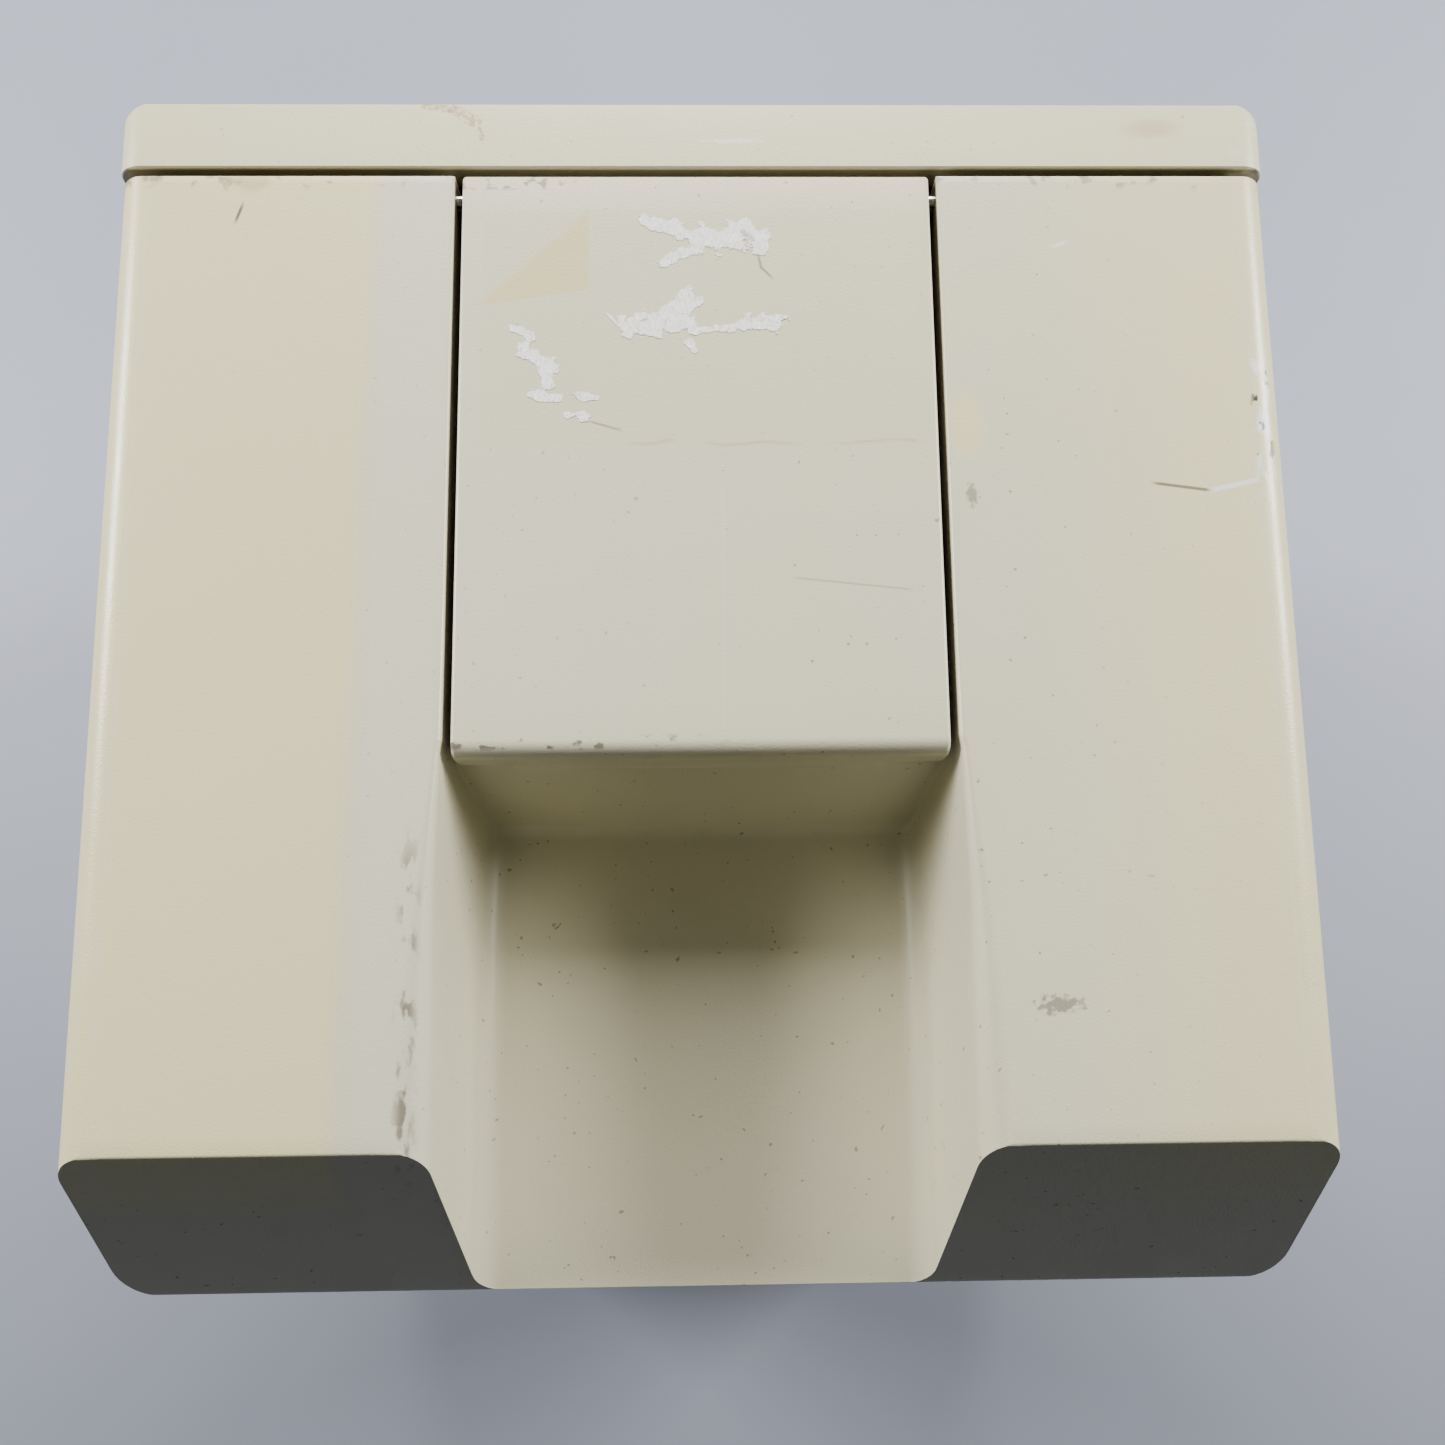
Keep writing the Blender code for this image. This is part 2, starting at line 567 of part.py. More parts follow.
def make_chassis():
    """Bent steel: base tray, cross plate, board plate, rear plate and the drive cage with its rails."""
    tray_x = PANEL_IN_X - GAP
    front = FRONT_BACK_Y + GAP
    outside = blocks((-tray_x, tray_x, front, TRAY_REAR_Y, TRAY_Z, TRAY_Z + TRAY_HEIGHT))
    tray = part("base_tray", outside, ZINC)
    inside = (
        -tray_x + STEEL,
        tray_x - STEEL,
        front + STEEL,
        TRAY_REAR_Y - STEEL,
        TRAY_FLOOR_Z,
        TRAY_Z + TRAY_HEIGHT + 0.01,
    )
    carve(tray, blocks(inside))

    standing = TRAY_FLOOR_Z + GAP
    plate_x = tray_x - STEEL - GAP
    cross = part(
        "cross_plate", blocks((-plate_x, plate_x, CROSS_Y, CROSS_Y + STEEL, standing, HOOD_Z - 0.010)), ZINC
    )
    carve(
        cross,
        blocks(
            (-0.085, 0.055, CROSS_Y - 0.01, CROSS_Y + 0.01, 0.045, 0.135),
            (-0.060, 0.060, CROSS_Y - 0.01, CROSS_Y + 0.01, 0.250, 0.370),
        ),
    )

    board_plate = part(
        "board_plate",
        blocks(
            (
                BOARD_PLATE_X,
                BOARD_PLATE_X + STEEL,
                CROSS_Y + STEEL + GAP,
                TRAY_REAR_Y - STEEL - GAP,
                standing,
                HOOD_Z - 0.010,
            )
        ),
        ZINC,
    )

    posts = []
    for y in (BOARD_Y + 0.010, BOARD_Y + BOARD_SIZE[1] / 2, BOARD_Y + BOARD_SIZE[1] - 0.015):
        for z in (BOARD_Z + 0.010, BOARD_Z + BOARD_SIZE[2] - 0.010):
            posts.append(((BOARD_PLATE_X - STANDOFF, y, z), STANDOFF + STEEL / 2, 0.003))
    weld(board_plate, rods("X", *posts, sides=12))

    half = WIDTH / 2 + BEZEL_PROUD - HOOD_WALL - GAP
    rear = part(
        "rear_plate",
        blocks((-half, half, REAR_INNER_Y, REAR_PLATE_Y, TRAY_Z + HOOD_WALL + GAP, HEIGHT - HOOD_WALL - GAP)),
        ZINC,
    )
    y0, y1 = REAR_INNER_Y - 0.01, REAR_PLATE_Y + 0.01
    supply = supply_box()
    windows = [(supply[0] + 0.003, supply[1] - 0.003, y0, y1, supply[4] + 0.003, supply[5] - 0.003)]
    ports = (PORT_Z - 0.0015, PORT_Z + PORT_TALL + 0.0015)
    windows.append((BOARD_FACE_X - 0.0245, BOARD_X + 0.0015, y0, y1, *ports))
    for index in range(SLOT_COUNT):
        z = CARD_Z + CARD_PITCH * index
        windows.append((CARD_X - 0.095, CARD_X - 0.005, y0, y1, z - 0.006, z + 0.006))
    for z0, z1 in slot_rows(0.088, 0.172, 8, 0.5):
        windows.append((-0.150, -0.070, y0, y1, z0, z1))
    for x0, x1 in slot_rows(-0.060, 0.060, 10, 0.4):
        windows.append((x0, x1, y0, y1, 0.440, 0.480))
    carve(rear, blocks(*windows))
    carve(rear, rods("Y", *[((x, y0, z), 0.03, 0.0021) for x, z in screw_places()], sides=12))

    cage_y = (BAYS_Y + (BAY_PITCH - DRIVE_THICK) / 2 - GAP, BAYS_Y + BAY_COUNT * BAY_PITCH - GAP)
    outer = CAGE_HALF + STEEL
    cage = part(
        "drive_cage",
        blocks((-outer, outer, cage_y[0] - STEEL, cage_y[1] + STEEL, CAGE_Z, CAGE_TOP_Z)),
        ZINC,
    )
    carve(cage, blocks((-CAGE_HALF, CAGE_HALF, *cage_y, CAGE_Z - 0.01, CAGE_TOP_Z + 0.01)))
    rail_y = (CROSS_Y + STEEL + GAP, REAR_INNER_Y - GAP)
    for side, hand in zip(SIDES, HANDS):
        xs = sorted((side * (CAGE_HALF - 0.004), side * (outer + 0.010)))
        part("cage_rail_" + hand, blocks((*xs, *rail_y, CAGE_Z - GAP - 0.0015, CAGE_Z - GAP)), ZINC)
        for y, end in ((FRONT_BACK_Y + 0.025, "front"), (BEZEL_Y - 0.030, "rear")):
            foot = rods("Z", ((side * (WIDTH / 2 - 0.035), y, 0), FOOT_HEIGHT, FOOT_RADIUS), sides=20)
            part("foot_" + end + "_" + hand, foot, RUBBER)


def screw_places():
    """Places of the screws that hold the rear plate, (x, z)."""
    x = WIDTH / 2 - 0.012
    return [(side * x, z) for side in SIDES for z in (0.036, HEIGHT - 0.038)]


def make_screws():
    """Pan-head screws on the rear plate, each with its shank in the plate's hole."""
    for number, (x, z) in enumerate(screw_places(), 1):
        head = rods("Y", ((x, REAR_PLATE_Y + GAP, z), 0.0024, 0.0038), sides=16)
        screw = part("rear_screw_" + str(number), head, BRIGHT_STEEL)
        weld(screw, rods("Y", ((x, REAR_INNER_Y - 0.004, z), STEEL + 0.006, 0.0016), sides=12))


# --- drives under the lid ---------------------------------------------------------------------


def bay(index):
    """Start and end in Y of a bay's face."""
    start = BAYS_Y + BAY_PITCH * index + 0.0002
    return start, start + BAY_PITCH - 0.0004


def device(name, index, look):
    """A half-height device standing on end in its bay."""
    y0, y1 = bay(index)
    spare = (y1 - y0 - DRIVE_THICK) / 2
    body_top = CAGE_TOP_Z + 0.001
    made = part(name, blocks((-FACE_HALF, FACE_HALF, y0, y1, body_top, FACE_Z)), look)
    weld(made, blocks((-DRIVE_HALF, DRIVE_HALF, y0 + spare, y1 - spare, CAGE_Z, body_top + 0.001)))
    return made


def make_optical_drive():
    """Caddy-loading optical drive with a sprung flap over its slot and an eject button."""
    drive = device("optical_drive", 0, BEIGE_DARK)
    y0 = bay(0)[0] + 0.008
    slot = (-0.064, 0.064, y0, y0 + 0.008)
    carve(drive, blocks((*slot, FACE_Z - 0.060, FACE_Z + 0.01)))
    axis = (0, y0 + 0.0012, FACE_Z - 0.0009)
    flap = blocks((-0.0636, 0.0636, y0 + 0.0005, y0 + 0.0077, FACE_Z - 0.0015, FACE_Z - 0.0003))
    part("optical_flap", flap, BLACK_PLASTIC, axis)
    x, y = 0.054, bay(0)[1] - 0.008
    carve(drive, blocks((x - 0.006, x + 0.006, y - 0.0025, y + 0.0025, FACE_Z - 0.010, FACE_Z + 0.01)))
    key = (x - 0.0056, x + 0.0056, y - 0.0021, y + 0.0021, FACE_Z - 0.006, FACE_Z + 0.0015)
    part("optical_eject_button", blocks(key), BEIGE_DARK, (x, y, FACE_Z))


def make_floppy_drive():
    """3.5 inch floppy drive in a frame that fits the wider bay."""
    y0, y1 = bay(1)
    middle = (y0 + y1) / 2
    spare = (y1 - y0 - DRIVE_THICK) / 2
    outside = blocks((-FACE_HALF, FACE_HALF, y0, y1, CAGE_TOP_Z + 0.001, FACE_Z))
    frame = part("floppy_frame", outside, BEIGE_DARK)
    frame_z = FACE_Z - FLOPPY_LENGTH
    weld(frame, blocks((-DRIVE_HALF, DRIVE_HALF, y0 + spare, y1 - spare, frame_z, CAGE_TOP_Z + 0.002)))
    half_x, half_y = FLOPPY_HALF + GAP, FLOPPY_THICK / 2 + GAP
    carve(frame, blocks((-half_x, half_x, middle - half_y, middle + half_y, frame_z - 0.01, FACE_Z + 0.01)))
    half_y = FLOPPY_THICK / 2
    body = (-FLOPPY_HALF, FLOPPY_HALF, middle - half_y, middle + half_y, frame_z, FACE_Z + 0.0005)
    drive = part("floppy_drive", blocks(body), BEIGE_DARK)
    carve(drive, blocks((-0.0465, 0.0465, middle - 0.0055, middle - 0.0015, FACE_Z - 0.090, FACE_Z + 0.01)))
    x, y = 0.036, middle + 0.0065
    carve(drive, blocks((x - 0.007, x + 0.007, y - 0.003, y + 0.003, FACE_Z - 0.012, FACE_Z + 0.01)))
    key = (x - 0.0066, x + 0.0066, y - 0.0026, y + 0.0026, FACE_Z - 0.006, FACE_Z + 0.0035)
    part("floppy_eject_button", blocks(key), BEIGE_DARK, (x, y, FACE_Z))


def make_bay_covers():
    """Snap-in blank covers for the two unused bays, each with a finger notch."""
    for index in range(2, BAY_COUNT):
        y0, y1 = bay(index)
        plate = blocks((-FACE_HALF, FACE_HALF, y0, y1, FACE_Z - 0.0035, FACE_Z - 0.0005))
        cover = part("bay_cover_" + str(index - 1), plate, BEIGE_DARK)
        carve(cover, blocks((-0.009, 0.009, y1 - 0.003, y1 + 0.001, FACE_Z - 0.010, FACE_Z + 0.01)))


# --- power supply and fans --------------------------------------------------------------------


def supply_box():
    """Outer box of the power supply, beside the drive cage against the rear plate."""
    x0 = -PANEL_IN_X + 0.005
    y1 = REAR_INNER_Y - GAP
    z0 = HOOD_Z - SUPPLY_DROP
    wide, deep, tall = SUPPLY_SIZE
    return x0, x0 + wide, y1 - deep, y1, z0, z0 + tall


def make_fan(name, centre, size, back_y):
    """A square fan blowing along Y: its frame with a spider at the back, and its rotor."""
    x, z = centre
    half = size / 2
    front_y = back_y - FAN_DEPTH
    outside = blocks((x - half, x + half, front_y, back_y, z - half, z + half))
    frame = part(name + "_frame", outside, BLACK_PLASTIC)
    carve(frame, rods("Y", ((x, front_y - 0.01, z), FAN_DEPTH + 0.02, half - 0.002), sides=32))
    spider_y = back_y - 0.0025
    weld(
        frame,
        blocks((x - half + 0.001, x + half - 0.001, spider_y, back_y, z - 0.002, z + 0.002)),
        blocks((x - 0.002, x + 0.002, spider_y, back_y, z - half + 0.001, z + half - 0.001)),
        rods("Y", ((x, spider_y, z), 0.0025, size * 0.2)),
    )
    hub_start = front_y + 0.001
    hub_length = FAN_DEPTH - 0.0025 - 0.001 - 0.0005
    hub = rods("Y", ((x, hub_start, z), hub_length, size * 0.2))
    rotor = part(name + "_rotor", hub, BLACK_PLASTIC, (x, hub_start, z))
    shape = bmesh.new()
    reach = half - 0.004
    for index in range(7):
        blade = Matrix.Translation((size * 0.17 + (reach - size * 0.17) / 2, 0, 0))
        pitched = blade @ Matrix.Rotation(math.radians(35), 4, "X")
        scaled = pitched @ Matrix.Diagonal((reach - size * 0.17, 0.0012, size * 0.22, 1))
        spun = Matrix.Rotation(math.tau * index / 7, 4, "Y") @ scaled
        middle = Matrix.Translation((0, hub_length / 2, 0))
        bmesh.ops.create_cube(shape, size=1, matrix=middle @ spun)
    blades = tool(from_bmesh(shape))
    blades.location = (x, hub_start, z)
    weld(rotor, blades)


def make_power_supply():
    """Steel box with its fan, its circuit board and the mains inlet with the rocker switch."""
    x0, x1, y0, y1, z0, z1 = supply_box()
    middle_x = (x0 + x1) / 2
    case = part("power_supply_case", blocks((x0, x1, y0, y1, z0, z1)), ZINC)
    room = (x0 + STEEL, x1 - STEEL, y0 + STEEL, y1 - STEEL, z0 + STEEL, z1 - STEEL)
    carve(case, blocks(room))
    fan_z = z1 - SUPPLY_FAN / 2 - 0.004
    carve(case, rods("Y", ((middle_x, y1 - 0.01, fan_z), 0.02, SUPPLY_FAN / 2 - 0.004), sides=32))
    module = (middle_x - 0.0138, middle_x + 0.0138, z0 + 0.007, z0 + 0.057)
    low_x, high_x, low_z, high_z = module
    carve(case, blocks((low_x - GAP, high_x + GAP, y1 - 0.01, y1 + 0.01, low_z - GAP, high_z + GAP)))
    vents = []
    for a, b in slot_rows(z0 + 0.060, z1 - 0.010, 10, 0.5):
        vents.append((x0 + 0.012, x1 - 0.012, y0 - 0.01, y0 + 0.01, a, b))
    vents.append((middle_x - 0.008, middle_x + 0.008, y0 - 0.01, y0 + 0.01, z0 + 0.018, z0 + 0.034))
    carve(case, blocks(*vents))
    make_fan("power_supply_fan", (middle_x, fan_z), SUPPLY_FAN, y1 - STEEL - GAP)

    floor = z0 + STEEL + 0.006
    board = (x0 + 0.004, x1 - 0.004, y0 + 0.006, y1 - 0.030)
    circuit = part("power_supply_board", blocks((*board, floor, floor + 0.0016)), BOARD_GREEN)
    parts = [(x0 + 0.010, x0 + 0.040, y0 + 0.015, y0 + 0.055, floor + 0.001, floor + 0.032)]
    parts.append((x1 - 0.034, x1 - 0.010, y0 + 0.020, y0 + 0.090, floor + 0.001, floor + 0.050))
    weld(circuit, blocks(*parts))
    posts = []
    for x in (board[0] + 0.005, board[1] - 0.005):
        for y in (board[2] + 0.005, board[3] - 0.005):
            posts.append(((x, y, z0 + STEEL + GAP), 0.006, 0.003))
    weld(circuit, rods("Z", *posts, sides=12))

    face_y = y1 + STEEL + 0.001
    body = blocks((low_x, high_x, y1 - 0.018, face_y, low_z, high_z))
    inlet = part("power_inlet", body, BLACK_PLASTIC)
    rocker_z = high_z - 0.0135
    sink = face_y + 0.01
    rocker_span = (rocker_z - 0.0105, rocker_z + 0.0105)
    carve(
        inlet,
        blocks((middle_x - 0.0115, middle_x + 0.0115, face_y - 0.014, sink, low_z + 0.004, low_z + 0.0205)),
        blocks((middle_x - 0.0067, middle_x + 0.0067, face_y - 0.012, sink, *rocker_span)),
    )
    contacts = []
    for x, z in ((-0.007, 0.0100), (0.007, 0.0100), (0.0, 0.0150)):
        contacts.append(((middle_x + x, face_y - 0.0150, low_z + z), 0.0123, 0.0012))
    weld(inlet, rods("Y", *contacts, sides=10))
    half_x, half_z = 0.0063, 0.0092
    rocker = (middle_x - half_x, middle_x + half_x, face_y - 0.006, face_y + 0.001)
    rocker = blocks((*rocker, rocker_z - half_z, rocker_z + half_z))
    part("power_rocker", rocker, BLACK_PLASTIC, (middle_x, face_y - 0.004, rocker_z))


def make_rear_fan():
    """Case fan behind the rear plate's slots."""
    make_fan("rear_fan", (-0.110, 0.130), REAR_FAN, REAR_INNER_Y - GAP)


# --- boards, cards and drives inside ----------------------------------------------------------


def comb(edge, base, fins, fin_thick, span, length):
    """Outline of a finned heat sink: (x, z) with the base at the edge and the fins towards -X."""
    pitch = (span - fin_thick) / (fins - 1)
    points = [(edge, 0.0)]
    for index in range(fins):
        low = pitch * index
        points.append((edge - length, low))
        points.append((edge - length, low + fin_thick))
        if index < fins - 1:
            points.append((edge - base, low + fin_thick))
            points.append((edge - base, low + pitch))
    points.append((edge, span))
    return [(x, z) for x, z in points if not (x == edge - base and z == 0.0)]


def make_boards():
    """Main board with its sockets, ports and slots, then what plugs into it."""
    half = BOARD_SIZE[0] / 2
    y0, y1 = BOARD_Y, BOARD_Y + BOARD_SIZE[1]
    z1 = BOARD_Z + BOARD_SIZE[2]
    face = BOARD_FACE_X
    board = part("main_board", blocks((BOARD_X - half, BOARD_X + half, y0, y1, BOARD_Z, z1)), BOARD_GREEN)
    root = BOARD_X
    chip_y, chip_z = y1 - 0.115, BOARD_Z + 0.182
    plug_y, plug_z = y0 + 0.020, z1 - 0.022
    ribbon_y = sum(bay(0)) / 2
    soldered = [(face - 0.016, root, plug_y, plug_y + 0.045, plug_z - 0.005, plug_z + 0.005)]
    soldered.append((face - 0.023, root, y1 - 0.020, REAR_PLATE_Y + 0.004, PORT_Z, PORT_Z + PORT_TALL))
    header = (ribbon_y - 0.028, ribbon_y + 0.028, RIBBON_Z - 0.0035, RIBBON_Z + 0.0035)
    soldered.append((face - 0.008, root, *header))
    grooves = []
    for index in range(MEMORY_COUNT):
        z = BOARD_Z + 0.155 + 0.012 * index
        soldered.append((face - 0.009, root, y0 + 0.018, y0 + 0.155, z - 0.0035, z + 0.0035))
        grooves.append((face - 0.010, face - 0.003, y0 + 0.0195, y0 + 0.1535, z - 0.00095, z + 0.00095))
        stick = (face - 0.034, face - 0.0035, y0 + 0.020, y0 + 0.153, z - 0.00065, z + 0.00065)
        part("memory_module_" + str(index + 1), blocks(stick), BOARD_GREEN)
    for index in range(SLOT_COUNT):
        z = CARD_Z + CARD_PITCH * index
        soldered.append((face - 0.011, root, CARD_Y + 0.040, CARD_Y + 0.125, z - 0.0042, z + 0.0042))
        groove = (CARD_Y + 0.0415, CARD_Y + 0.1235, z - 0.0012, z + 0.0012)
        grooves.append((face - 0.012, face - 0.0029, *groove))
        bracket_y = REAR_INNER_Y - GAP
        bracket = (CARD_X - 0.104, CARD_X + 0.006, bracket_y - 0.0009, bracket_y, z - 0.0092, z + 0.0092)
        if index == SLOT_COUNT - 1:
            part("blank_slot_bracket", blocks(bracket), ZINC)
            continue
        thick = CARD_SIZE[2] / 2
        card = part("expansion_card_" + str(index + 1), blocks(bracket), BOARD_GREEN)
        weld(
            card,
            blocks((CARD_X - CARD_SIZE[0], CARD_X - 0.009, CARD_Y, bracket_y - 0.0004, z - thick, z + thick)),
            blocks((CARD_X - 0.010, CARD_X, CARD_Y + 0.043, CARD_Y + 0.122, z - thick, z + thick)),
        )
    weld(board, *[blocks(item) for item in soldered])
    carve(board, blocks(*grooves))

    chip = (face - 0.003, face, chip_y - 0.025, chip_y + 0.025, chip_z - 0.025, chip_z + 0.025)
    part("processor", blocks(chip), CHIP_BLACK)
    fins = [(x, z + chip_z - 0.030) for x, z in comb(face - 0.003 - GAP, 0.005, 9, 0.0014, 0.060, 0.036)]
    part("heat_sink", prism(fins, "Y", chip_y - 0.030, chip_y + 0.030), ALUMINIUM)
    return (face - 0.016, plug_y + 0.0225, plug_z)


def make_hard_drive():
    """3.5 inch hard drive in a steel channel on the base tray."""
    wide, deep, tall = HARD_DRIVE_SIZE
    x0, y0, z0 = -0.168, CROSS_Y + 0.010, TRAY_FLOOR_Z + GAP + 0.030
    part("hard_drive", blocks((x0, x0 + wide, y0, y0 + deep, z0, z0 + tall)), ALUMINIUM)
    low = TRAY_FLOOR_Z + GAP
    side = GAP + STEEL
    channel = (x0 - side, x0 + wide + side, y0 + 0.010, y0 + deep - 0.010, low, z0 + tall * 0.7)
    bracket = part("hard_drive_bracket", blocks(channel), ZINC)
    carve(
        bracket,
        blocks(
            (x0 - GAP, x0 + wide + GAP, y0 - 0.01, y0 + deep + 0.01, z0 - GAP, z0 + tall + 0.01),
            (x0 + 0.004, x0 + wide - 0.004, y0 - 0.01, y0 + deep + 0.01, low - 0.01, z0 - GAP - STEEL),
        ),
    )


def make_front_controls():
    """Buttons, lamps and key lock, with the switch board behind them and the speaker below."""
    places = control_places()
    face = FRONT_FACE_Y - BUTTON_PROUD
    back = FRONT_FACE_Y + FRONT_WALL + GAP
    x, z = places["power"]
    wide, tall = BUTTON_SIZE[0] / 2, BUTTON_SIZE[1] / 2
    cap = blocks((x - wide, x + wide, face, back + 0.001, z - tall, z + tall))
    button = part("power_button", cap, BEIGE, (x, face, z))
    wide, tall = wide + 0.002, tall + 0.002
    weld(button, blocks((x - wide, x + wide, back, back + 0.0015, z - tall, z + tall)))
    x, z = places["reset"]
    cap = rods("Y", ((x, face, z), back + 0.001 - face, RESET_RADIUS))
    reset = part("reset_button", cap, BEIGE, (x, face, z))
    weld(reset, rods("Y", ((x, back, z), 0.0015, RESET_RADIUS + 0.002)))
    for (x, z), name in zip(places["lamps"], ("power_lamp_lens", "drive_lamp_lens")):
        lens = (x - 0.004, x + 0.004, FRONT_FACE_Y - 0.0005, back + 0.002, z - 0.0015, z + 0.0015)
        part(name, blocks(lens), LENS_GREEN)
    x, z = places["lock"]
    lock = part("key_lock", rods("Y", ((x, face, z), 0.022, LOCK_RADIUS)), BRIGHT_STEEL, (x, face, z))
    carve(lock, blocks((x - 0.001, x + 0.001, face - 0.01, face + 0.008, z - 0.0045, z + 0.0045)))

    board_y = back + 0.0015 + BUTTON_TRAVEL + 0.0045
    z = places["power"][1]
    plate = blocks((0.088, 0.172, board_y, board_y + 0.0016, z - 0.014, z + 0.014))
    board = part("switch_board", plate, BOARD_GREEN)
    switches = []
    for key in ("power", "reset"):
        x = places[key][0]
        switches.append((x - 0.003, x + 0.003, board_y - 0.004, board_y + 0.001, z - 0.003, z + 0.003))
    weld(board, blocks(*switches))

    x, z, radius = 0.120, 0.090, 0.0285
    speaker = part("speaker", rods("Y", ((x, CROSS_Y - GAP - 0.006, z), 0.006, radius), sides=32), CHIP_BLACK)
    weld(speaker, rods("Y", ((x, CROSS_Y - GAP - 0.010, z), 0.005, radius * 0.55)))


# --- cables held at both ends -----------------------------------------------------------------


def smooth_path(points, steps):
    """A smooth curve through the points, by the Catmull-Rom rule."""
    ends = [2 * points[0] - points[1], *points, 2 * points[-1] - points[-2]]
    path = []
    for index in range(1, len(ends) - 2):
        a, b, c, d = ends[index - 1:index + 3]
        for step in range(steps):
            t = step / steps
            square = (2 * a - 5 * b + 4 * c - d) * t**2
            cube = (3 * b - a - 3 * c + d) * t**3
            path.append(0.5 * (2 * b + (c - a) * t + square + cube))
    path.append(points[-1])
    return path


def make_cables(plug):
    """Power harness from the supply to the main board, and the drives' flat ribbon."""
    x0, x1, y0, y1, z0, z1 = supply_box()
    start = Vector(((x0 + x1) / 2, y0 + 0.004, z0 + 0.026))
    knots = [start, start + Vector((0, -0.030, 0)), Vector((-0.080, y0 - 0.095, 0.262))]
    knots += [Vector((0.0, y0 - 0.115, 0.235)), Vector((0.090, plug[1] + 0.004, 0.238))]
    knots += [Vector((plug[0] - 0.020, plug[1], plug[2]))]
    knots += [Vector((plug[0] - 4 * GAP, plug[1], plug[2]))]
    curve = bpy.data.curves.new("power_harness", "CURVE")
    curve.dimensions = "3D"
    curve.bevel_depth = 0.0045
    curve.bevel_resolution = 2
    curve.use_fill_caps = True
    path = smooth_path(knots, 5)
    spline = curve.splines.new("POLY")
    spline.points.add(len(path) - 1)
    for point, place in zip(spline.points, path):
        point.co = (*place, 1)
    curve.materials.append(finish("power_harness", *CABLE_GREY))
    PARTS.objects.link(bpy.data.objects.new("power_harness", curve))

    half = 0.0005
    knots = [Vector((0.040, 0, CAGE_Z - GAP)), Vector((0.042, 0, CAGE_Z - 0.035))]
    knots += [Vector((0.078, 0, CAGE_Z - 0.075))]
    knots += [Vector((0.130, 0, RIBBON_Z)), Vector((BOARD_FACE_X - 0.0083, 0, RIBBON_Z))]
    path = smooth_path(knots, 4)
    upper = []
    lower = []
    for index, place in enumerate(path):
        along = (path[min(index + 1, len(path) - 1)] - path[max(index - 1, 0)]).normalized()
        normal = Vector((-along.z, 0, along.x)) * half
        upper.append(((place + normal).x, (place + normal).z))
        lower.append(((place - normal).x, (place - normal).z))
    middle = sum(bay(0)) / 2
    part("drive_ribbon", prism(upper + lower[::-1], "Y", middle - 0.025, middle + 0.025), CABLE_GREY)


make_hood()
make_lid()
make_front_panel()
make_side_panels()
make_rear_bezel()
make_chassis()
make_screws()
make_optical_drive()
make_floppy_drive()
make_bay_covers()
make_power_supply()
make_rear_fan()
power_plug = make_boards()
make_hard_drive()
make_front_controls()
make_cables(power_plug)
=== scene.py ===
import math

import bmesh
import bpy
import numpy as np
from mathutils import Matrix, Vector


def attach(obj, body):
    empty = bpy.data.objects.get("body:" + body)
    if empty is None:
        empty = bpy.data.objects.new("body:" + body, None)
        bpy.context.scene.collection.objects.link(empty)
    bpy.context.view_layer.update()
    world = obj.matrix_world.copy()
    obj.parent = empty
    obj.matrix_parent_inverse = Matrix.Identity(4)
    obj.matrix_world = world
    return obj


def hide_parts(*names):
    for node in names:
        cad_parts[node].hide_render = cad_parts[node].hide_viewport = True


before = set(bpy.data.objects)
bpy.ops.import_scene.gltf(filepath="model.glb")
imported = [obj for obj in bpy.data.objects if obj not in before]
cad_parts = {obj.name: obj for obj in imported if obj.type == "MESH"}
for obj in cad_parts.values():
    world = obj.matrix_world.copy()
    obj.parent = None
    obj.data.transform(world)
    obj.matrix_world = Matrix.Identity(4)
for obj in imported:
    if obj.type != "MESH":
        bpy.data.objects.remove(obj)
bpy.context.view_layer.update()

# --- hood -------------------------------------------------------------------------------------
# The top of the tower is one moulding in structural foam: two shoulders with sloped fronts, the
# open channel between them and the well below the lid. It is sprayed warm beige over the foam,
# which leaves a fine pebbled skin, and has yellowed where a lamp or a window reached it.

TOP = 0.500
HOOD_HALF = 0.190
HOOD_FRONT = -0.19365
HOOD_CREASE = -0.14205
HOOD_REAR = 0.16745
HOOD_UNDER = 0.4265
HOOD_RIM = 0.4345
HOOD_CORNER = 0.0106
HOOD_WALL = 0.0035
CHANNEL_HALF = 0.0821
CHANNEL_DRAFT = 0.1106
CHANNEL_FLOOR = 0.4346
CHANNEL_FALL = 0.0030
CHANNEL_FILLET = 0.0084
BULKHEAD_FOOT = -0.0410
BULKHEAD_LEAN = math.radians(18)
BULKHEAD_FILLET = 0.007
BULKHEAD_EDGE = -0.0242
WELL_LEDGE = 0.4835
WELL_FRONT = -0.02035
WELL_BACK = 0.16395
WELL_FLOOR = 0.450
WELL_HALF = 0.0794
DRIVE_HOLE = (0.0743, -0.01685, 0.15295)

BEIGE = (0.640, 0.608, 0.445, 1)
BEIGE_YELLOWED = (0.730, 0.672, 0.372, 1)
# paler beige for paler paint, also laid as a painted highlight along the hood's outer edges
BEIGE_PALE_AND_HIGHLIGHT = (0.670, 0.652, 0.505, 1)
# dark brown for grime and dirt specks, also laid as painted shade in the gap between hood and bezel
GRIME_AND_GAP_SHADE = (0.100, 0.078, 0.050, 1)
SLOT_DIRT = (0.210, 0.165, 0.110, 1)
CHIPPED = (0.820, 0.810, 0.780, 1)
RUB_BLACK = (0.020, 0.019, 0.018, 1)


